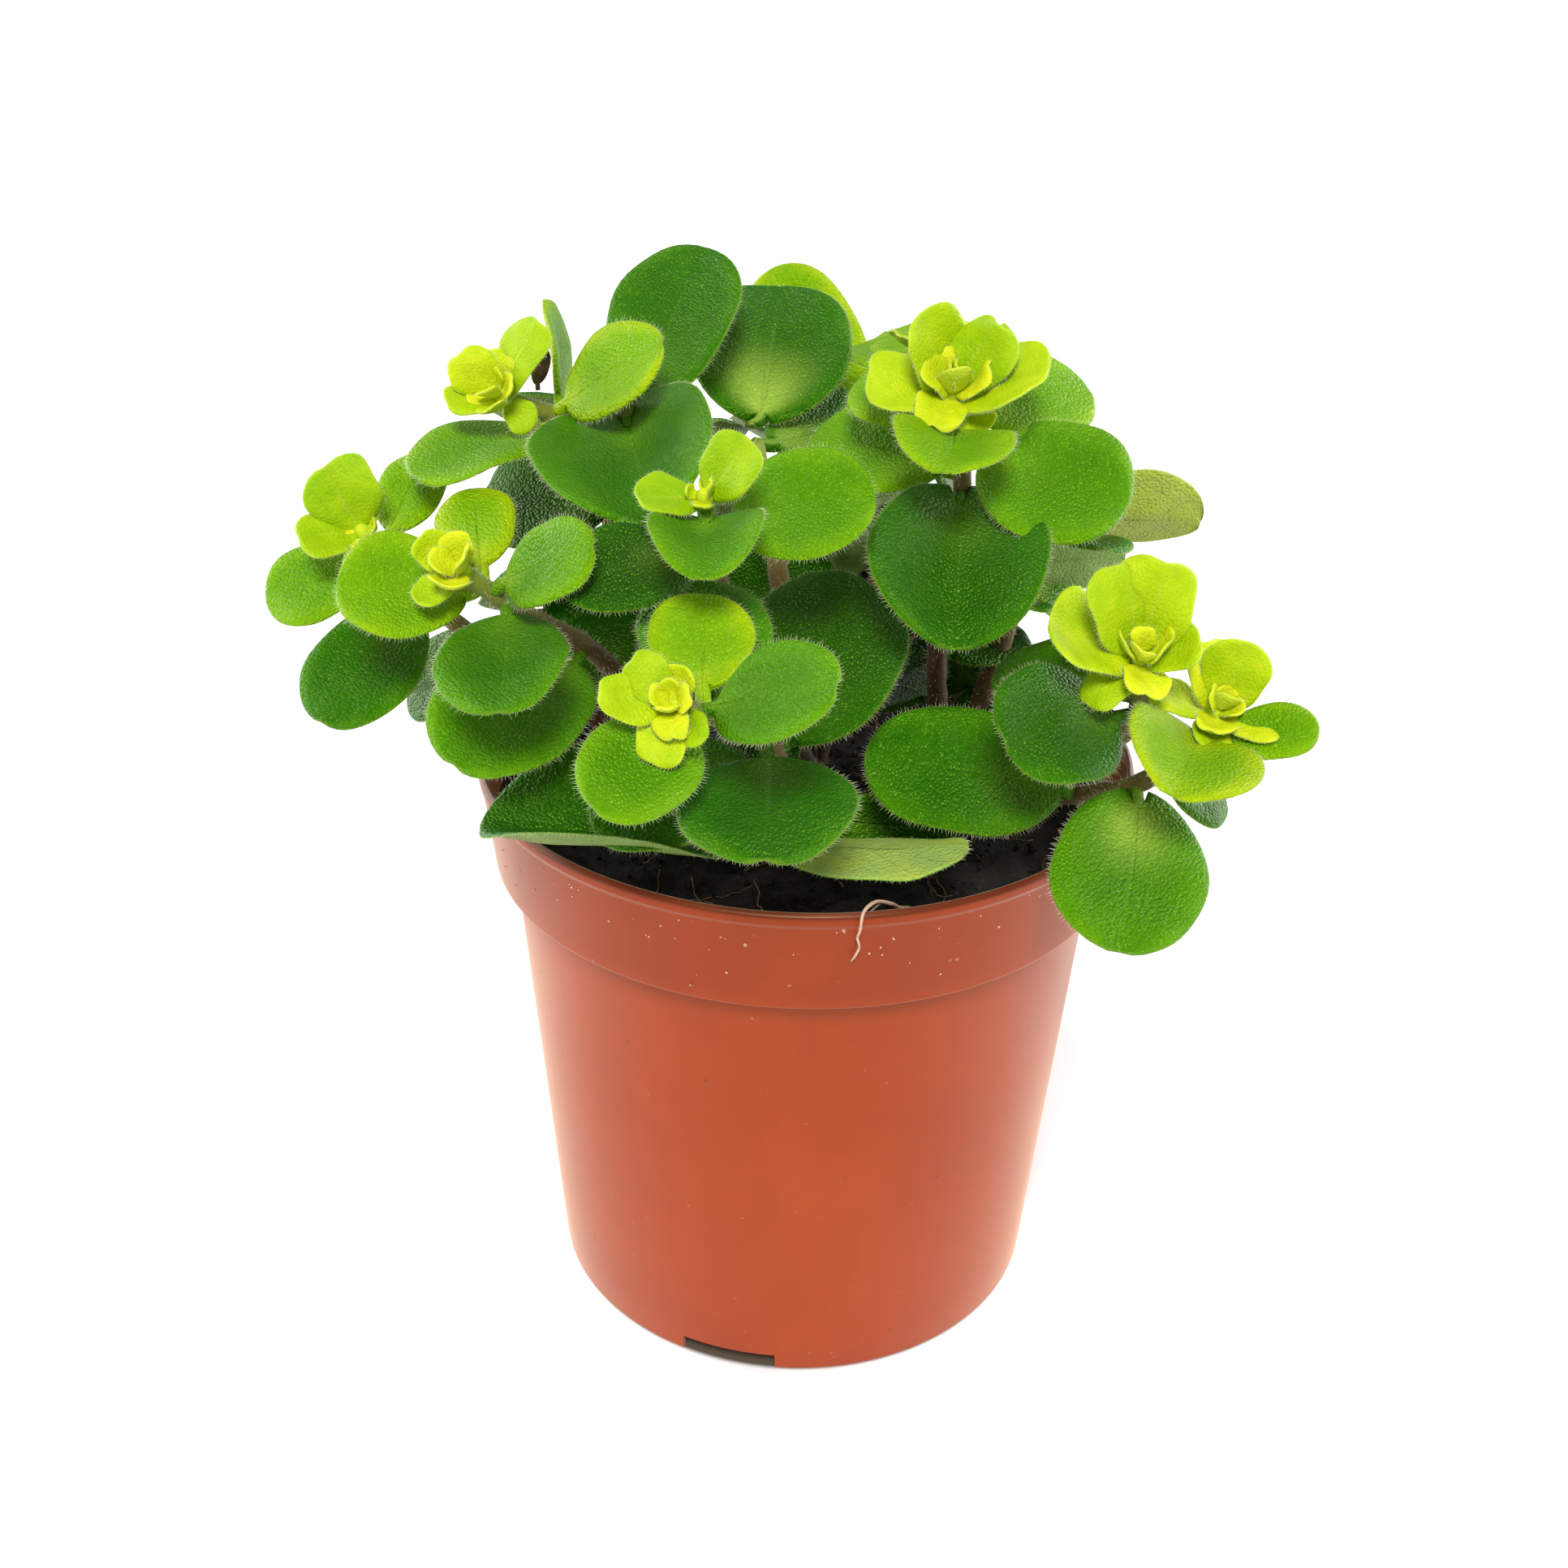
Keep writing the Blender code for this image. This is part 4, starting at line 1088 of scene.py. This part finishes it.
def make_pot(finish):
    """The moulded pot, with notches round its foot and drain holes through its floor."""
    floor_top = FLOOR_LIFT + WALL
    inner_step = COLLAR_FOOT + WALL
    outer = [
        (RIM_RADIUS - 0.55 * MM, POT_HEIGHT),
        (RIM_RADIUS, POT_HEIGHT - 0.4 * MM),
        (RIM_RADIUS, POT_HEIGHT - 1.6 * MM),
        (NECK_RADIUS, BEAD_FOOT),
        (COLLAR_RADIUS, COLLAR_FOOT + 0.9 * MM),
        (COLLAR_RADIUS - 0.1 * MM, COLLAR_FOOT),
        (body_radius(COLLAR_FOOT), COLLAR_FOOT),
        (body_radius(44 * MM), 44 * MM),
        (body_radius(22 * MM), 22 * MM),
        (body_radius(FLOOR_LIFT * 2), FLOOR_LIFT * 2),
        (body_radius(0), 0.4 * MM),
        (body_radius(0, 0.4 * MM), 0),
        (body_radius(0, WALL), 0),
        (body_radius(FLOOR_LIFT, WALL), FLOOR_LIFT),
        (HUB_RADIUS + FLOOR_LIFT, FLOOR_LIFT),
        (HUB_RADIUS, 0),
        (HUB_RADIUS * 0.5, 0),
        (0, 0),
    ]
    inner = [
        (0, WALL),
        (HUB_RADIUS - WALL / 2, WALL),
        (HUB_RADIUS - WALL / 2 + FLOOR_LIFT, floor_top),
        (body_radius(floor_top, 2 * WALL), floor_top),
        (body_radius(floor_top, WALL), floor_top + WALL),
        (body_radius(inner_step, WALL), inner_step),
        (COLLAR_RADIUS - WALL, inner_step + 1.3 * MM),
        (RIM_RADIUS - WALL, POT_HEIGHT - 0.5 * MM),
        (RIM_RADIUS - 0.8 * MM, POT_HEIGHT - 0.1 * MM),
    ]
    profile = rounded(outer, 0.35 * MM) + rounded(inner, 0.5 * MM)
    profile = [p for k, p in enumerate(profile) if k == 0 or (Vector(p) - Vector(profile[k - 1])).length > 1e-6]
    blank = turned("pot_blank", profile, POT_STEPS)
    cutters = []
    for number in range(NOTCHES):
        heading = FIRST_NOTCH + number * 360 / NOTCHES
        bpy.ops.mesh.primitive_cube_add(size=1)
        notch = bpy.context.object
        notch.scale = NOTCH_SIZE
        notch.rotation_euler = (0, 0, math.radians(heading))
        notch.location = direction(heading, 0) * body_radius(0, WALL / 2)
        cutters.append(notch)
    for number in range(DRAIN_HOLES):
        spot = direction(number * 360 / DRAIN_HOLES, 0) * DRAIN_RING_RADIUS + UP * (FLOOR_LIFT + WALL / 2)
        bpy.ops.mesh.primitive_cylinder_add(vertices=24, radius=DRAIN_RADIUS, depth=4 * WALL, location=spot)
        cutters.append(bpy.context.object)
    bpy.context.view_layer.update()
    for cutter in cutters:
        cut(blank, cutter)
    pot = solid_copy(blank, "nursery_pot", finish)
    for leftover in (blank, *cutters):
        bpy.data.objects.remove(leftover)
    pot.data.shade_smooth()
    pot.data.set_sharp_from_angle(angle=math.radians(SHARP_EDGE))
    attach(pot, "root")
    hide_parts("pot")


def solid_copy(source, name, finish):
    """A new object with the source's shape after its modifiers."""
    graph = bpy.context.evaluated_depsgraph_get()
    mesh = bpy.data.meshes.new_from_object(source.evaluated_get(graph))
    mesh.name = name
    mesh.materials.clear()
    mesh.materials.append(finish)
    return linked(name, mesh)


SOIL_EDGE = 74 * MM
SOIL_DOME = 2.5
SOIL_LUMPS = 0.7
# The peat stands this clear of the pot's inside, which leans in by this much from the rim down to the peat.
PEAT_GAP = 0.3 * MM
RIM_LEAN = 0.9 * MM
PEAT_STEPS = 150
PEAT_RINGS = 56
CRUMBS = 900
CRUMBS_REACH = 42 * MM


def soil_height(x, y):
    """The peat's surface: a low dome with lumps, crumbs and pits."""
    reach = math.hypot(x, y) / RIM_RADIUS
    lumps = math.sin(x / (5 * MM) + 1) * math.sin(y / (6 * MM)) + 0.5 * math.sin((x - y) / (3 * MM))
    spot = Vector((x, y, 0))
    rough = noise.fractal(spot / (4 * MM), 1.0, 2.0, 4) * 0.9 + noise.noise(spot / (1.1 * MM)) * 0.35
    return SOIL_EDGE + (SOIL_DOME * (1 - reach * reach) + SOIL_LUMPS * lumps + rough) * MM


def make_peat(finish):
    """The block of peat and its crumbs."""
    piece = Piece()
    top_radius = RIM_RADIUS - WALL - PEAT_GAP - RIM_LEAN
    middle = piece.corner(Vector((0, 0, soil_height(0, 0))))
    loops = []
    for ring in range(1, PEAT_RINGS + 1):
        spots = circle(top_radius * ring / PEAT_RINGS, PEAT_STEPS)
        loops.append([piece.corner(Vector((x, y, soil_height(x, y)))) for x, y in spots])
    floor = FLOOR_LIFT + WALL + PEAT_GAP
    for radius, height in (
        (COLLAR_RADIUS - WALL - PEAT_GAP, COLLAR_FOOT + WALL + 1.6 * MM),
        (body_radius(COLLAR_FOOT, WALL + PEAT_GAP), COLLAR_FOOT + WALL + PEAT_GAP),
        (body_radius(floor, WALL + PEAT_GAP), floor + WALL),
        (body_radius(floor, 2 * WALL + PEAT_GAP), floor),
    ):
        loops.append([piece.corner(Vector((x, y, height))) for x, y in circle(radius, PEAT_STEPS)])
    bottom = piece.corner(Vector((0, 0, floor)))
    for k in range(PEAT_STEPS):
        after = (k + 1) % PEAT_STEPS
        piece.faces.append((middle, loops[0][k], loops[0][after]))
        piece.faces.append((bottom, loops[-1][after], loops[-1][k]))
        for one, two in zip(loops, loops[1:]):
            piece.faces.append((one[k], two[k], two[after], one[after]))
    block = piece.made("peat_block", finish, "peat")
    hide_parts("soil")

    draws = random.Random("crumbs")
    crumbs = Piece()
    for _ in range(CRUMBS):
        x, y = scattered(draws, CRUMBS_REACH)
        add_crumb(crumbs, Vector((x, y, soil_height(x, y) + 0.1 * MM)), draws.uniform(0.35, 1.3) * MM, draws)
    crumbs.made("peat_crumbs", finish, "peat", smooth=False)


# A crumb has a top, five corners round it and a foot.
CRUMB_CORNERS = [
    (0, 0, 1), (0.9, 0, 0.3), (0.2, 0.9, 0.2), (-0.8, 0.4, 0.3), (-0.6, -0.7, 0.2), (0.4, -0.8, 0.3), (0, 0, -0.8),
]
CRUMB_FACES = [(0, k, k % 5 + 1) for k in range(1, 6)] + [(6, k % 5 + 1, k) for k in range(1, 6)]


def add_crumb(piece, spot, size, draws):
    """A small closed lump."""
    turn = Matrix.Rotation(draws.uniform(0, math.tau), 3, direction(draws.uniform(0, 360), draws.uniform(-90, 90)))
    first = len(piece.points)
    for corner in CRUMB_CORNERS:
        shape = Vector(corner) * size * 0.5 * draws.uniform(0.7, 1.25)
        piece.corner(spot + turn @ shape)
    for face in CRUMB_FACES:
        piece.faces.append(tuple(first + c for c in face))


FIBRES = 110
FIBRES_REACH = 41 * MM
FIBRES_END = 42.5 * MM


def make_fibres(finish):
    """Loose root fibres that lie on the peat."""
    draws = random.Random("fibres")
    piece = Piece()
    for _ in range(FIBRES):
        spot = Vector((*scattered(draws, FIBRES_REACH), 0))
        heading = draws.uniform(0, 360)
        path = []
        for step in range(draws.randint(6, 14)):
            lift = soil_height(spot.x, spot.y) + draws.uniform(0.1, 0.5) * MM
            path.append(Vector((spot.x, spot.y, lift)))
            heading += draws.uniform(-45, 45)
            spot = spot + direction(heading, 0) * draws.uniform(0.5, 1.1) * MM
            if spot.length > FIBRES_END:
                break
        if len(path) > 3:
            thick = draws.uniform(0.06, 0.16) * MM
            add_tube(piece, path, [thick * (1 - 0.6 * k / len(path)) for k in range(len(path))], sides=4)
    piece.made("root_fibres", finish, "peat")


# One long pale root that hangs over the rim, and the twig that leaves it at one of its points, in mm.
HANGING_ROOT = [
    (13, -34, 76.5), (11.5, -37, 78.5), (10.5, -39.5, 80.5), (8.5, -41.8, 82.2), (7, -44.2, 82.5), (6.6, -45.3, 81.8),
    (6.5, -45.3, 80.4), (6.2, -44.9, 79), (6.5, -44.6, 77.6), (6.1, -44.4, 76.2), (5.6, -44.3, 75.3),
]
ROOT_POINTS = 40
TWIG_AT = 14
TWIG = [(0, 0, 0), (-1.2, -0.9, 0.5), (-2.6, -1.4, -0.6)]
TWIG_POINTS = 12
SPECKS = 240
# The ends of the withered leaf, in mm.
WITHERED_START = (-35.8, 5.5, 129.5)
WITHERED_TIP = (-36.6, 6, 136.4)
SPLINTERS = 6


def make_hanging_root(finish):
    """The long root over the rim and its twig."""
    root = Piece()
    path = smooth_path([Vector(p) * MM for p in HANGING_ROOT], ROOT_POINTS)
    radii = [(0.34 - 0.2 * k / (ROOT_POINTS - 1)) * MM for k in range(ROOT_POINTS)]
    add_tube(root, path, radii, sides=6, lumps=0.3)
    twig = smooth_path([path[TWIG_AT] + Vector(p) * MM for p in TWIG], TWIG_POINTS)
    add_tube(root, twig, [0.13 * MM] * TWIG_POINTS, sides=5)
    root.made("hanging_root", finish, "peat")


def make_collar_dust(finish, draws):
    """Specks of dust on the collar, most of them just below the rim's bead."""
    specks = Piece()
    for _ in range(SPECKS):
        heading = draws.uniform(0, 360)
        height = draws.triangular(COLLAR_FOOT + 1 * MM, BEAD_FOOT - 0.3 * MM, BEAD_FOOT - 0.3 * MM)
        share = (height - COLLAR_FOOT) / (BEAD_FOOT - COLLAR_FOOT)
        radius = COLLAR_RADIUS + (NECK_RADIUS - COLLAR_RADIUS) * share
        add_crumb(specks, direction(heading, 0) * radius + UP * height, draws.uniform(0.12, 0.55) ** 1.3 * MM, draws)
    specks.made("collar_dust", finish, "peat", smooth=False)


def make_withered_leaf(finish, draws):
    """One dry leaf that stands rolled up on a broken stem."""
    withered = Piece()
    start = Vector(WITHERED_START) * MM
    up = (Vector(WITHERED_TIP) * MM - start).normalized()
    face = direction(-60, 20)
    face = (face - up * face.dot(up)).normalized()
    leaf = Leaf(start, start + up * 0.4 * MM, (up, face.cross(up), face), 7 * MM, 1.7 * MM, 0.9, 0.6 * MM)
    add_blade(withered, leaf, 0.3, draws, thickness=0.35 * MM, rows=SMALL_ROWS, columns=SMALL_COLUMNS, wave=2.5)
    withered.made("withered_leaf", finish, "leaf")


def make_broken_end(finish, draws):
    """The ragged end of the broken stem."""
    stub = Piece()
    foot = PATHS["broken"][-1]
    radii = [0.7 * MM, 0.5 * MM, 0.12 * MM]
    for number in range(SPLINTERS):
        way = direction(draws.uniform(-140, 20), draws.uniform(35, 80))
        size = draws.uniform(1.2, 2.6) * MM
        bend = foot + way * size * 0.6 + UP * draws.uniform(-0.3, 0.3) * MM
        add_tube(stub, [foot, bend, foot + way * size], radii, sides=6, lumps=0.4, seed=number)
    stub.made("broken_stem_end", finish, "stem")


# ---------------------------------------------------------------- view and light


VIEW_TARGET = Vector((-2.9, 0, 75.5)) * MM
VIEW_RISE = math.radians(28.1)
VIEW_ROLL = math.radians(1.26)
VIEW_DISTANCE = 271 * MM
LENS = 44.46
SENSOR_WIDTH = 36
FLOOR_HALF_SIDE = 4
PALE_FLOOR = (0.86, 0.86, 0.86)
# The colour of the painted shadow on the floor under the pot's foot.
PAINTED_SHADOW_UNDER_POT = (0.11, 0.085, 0.06)
# Lamps stand this far from the pot's axis at this height. Each box has its heading and all share a rise.
LAMP_DISTANCE = 0.9
LAMP_LIFT = 0.08
BOXES = {"left_box": 155, "right_box": 25}
BOX_RISE = 10
BOX_SIZE = 0.9
BOX_ENERGY = 10
KEY_WAY = (-92, 50)
KEY_ENERGY = 3.3
KEY_SPREAD = 20
SURROUND = 0.42


def make_camera():
    camera_data = bpy.data.cameras.new("camera")
    camera_data.sensor_width = SENSOR_WIDTH
    camera_data.lens = LENS
    camera_data.clip_start = 0.01
    camera = linked("camera", camera_data)
    back = Vector((0, -math.cos(VIEW_RISE), math.sin(VIEW_RISE)))
    turn = Matrix.Rotation(math.pi / 2 - VIEW_RISE, 4, "X") @ Matrix.Rotation(VIEW_ROLL, 4, "Z")
    camera.matrix_world = Matrix.Translation(VIEW_TARGET + back * VIEW_DISTANCE) @ turn
    bpy.context.scene.camera = camera


def make_floor():
    """A pale floor with a painted shadow under the pot's foot."""
    floor_finish = Finish("pale_floor", Roughness=0.7, Specular_IOR_Level=0.2)
    reach = floor_finish.node("ShaderNodeVectorMath", dict(operation="LENGTH"), {0: floor_finish.place()}, output=1)
    # Painted shadow: a dark disc on the floor under the pot's foot, seen through the notches.
    painted_shadow_under_pot = 1 - reach.between(FOOT_RADIUS - 0.8 * MM, FOOT_RADIUS + 0.2 * MM)
    colour = floor_finish.mix(painted_shadow_under_pot, PALE_FLOOR, PAINTED_SHADOW_UNDER_POT)
    floor_finish.feed(floor_finish.shader.inputs["Base Color"], colour)
    shape = bmesh.new()
    bmesh.ops.create_grid(shape, x_segments=2, y_segments=2, size=FLOOR_HALF_SIDE)
    mesh = bpy.data.meshes.new("floor")
    shape.to_mesh(mesh)
    shape.free()
    mesh.materials.append(floor_finish.material)
    linked("floor", mesh)


def make_light():
    """A bright surround, one soft sun in front and a large lamp on each side."""
    world = bpy.data.worlds.new("soft_surround")
    bpy.context.scene.world = world
    world.use_nodes = True
    sky = world.node_tree.nodes["Background"]
    sky.inputs["Color"].default_value = (1, 1, 1, 1)
    sky.inputs["Strength"].default_value = SURROUND
    key = bpy.data.lights.new("key", "SUN")
    key.energy = KEY_ENERGY
    key.angle = math.radians(KEY_SPREAD)
    lamps = [(key, direction(*KEY_WAY))]
    for name, heading in BOXES.items():
        box = bpy.data.lights.new(name, "AREA")
        box.size = BOX_SIZE
        box.energy = BOX_ENERGY
        lamps.append((box, direction(heading, BOX_RISE)))
    for lamp, way in lamps:
        turn = way.to_track_quat("Z", "Y").to_matrix().to_4x4()
        linked(lamp.name, lamp).matrix_world = Matrix.Translation(way * LAMP_DISTANCE + UP * LAMP_LIFT) @ turn
    bpy.context.scene.view_settings.view_transform = "Standard"


def main():
    make_camera()
    make_light()
    make_floor()
    leaf_skin, young_skin, hair_skin = leaf_finish(), young_finish(), hair_finish()
    stem_skin, peat = stem_finish(), peat_finish()
    straw = fibre_finish("dry_fibre", (0.06, 0.03, 0.015), (0.3, 0.2, 0.09))
    make_pot(pot_finish())
    make_peat(peat)
    make_fibres(straw)
    make_stems(stem_skin, hair_skin)
    make_leaves(leaf_skin, hair_skin)
    make_rosettes(young_skin, hair_skin)
    pale_root = fibre_finish("pale_root", (0.42, 0.24, 0.15), (0.72, 0.52, 0.38))
    husk = fibre_finish("withered_skin", (0.035, 0.015, 0.008), (0.2, 0.11, 0.05))
    draws = random.Random("dry bits")
    make_hanging_root(pale_root)
    make_collar_dust(pale_root, draws)
    make_withered_leaf(husk, draws)
    make_broken_end(husk, draws)


main()
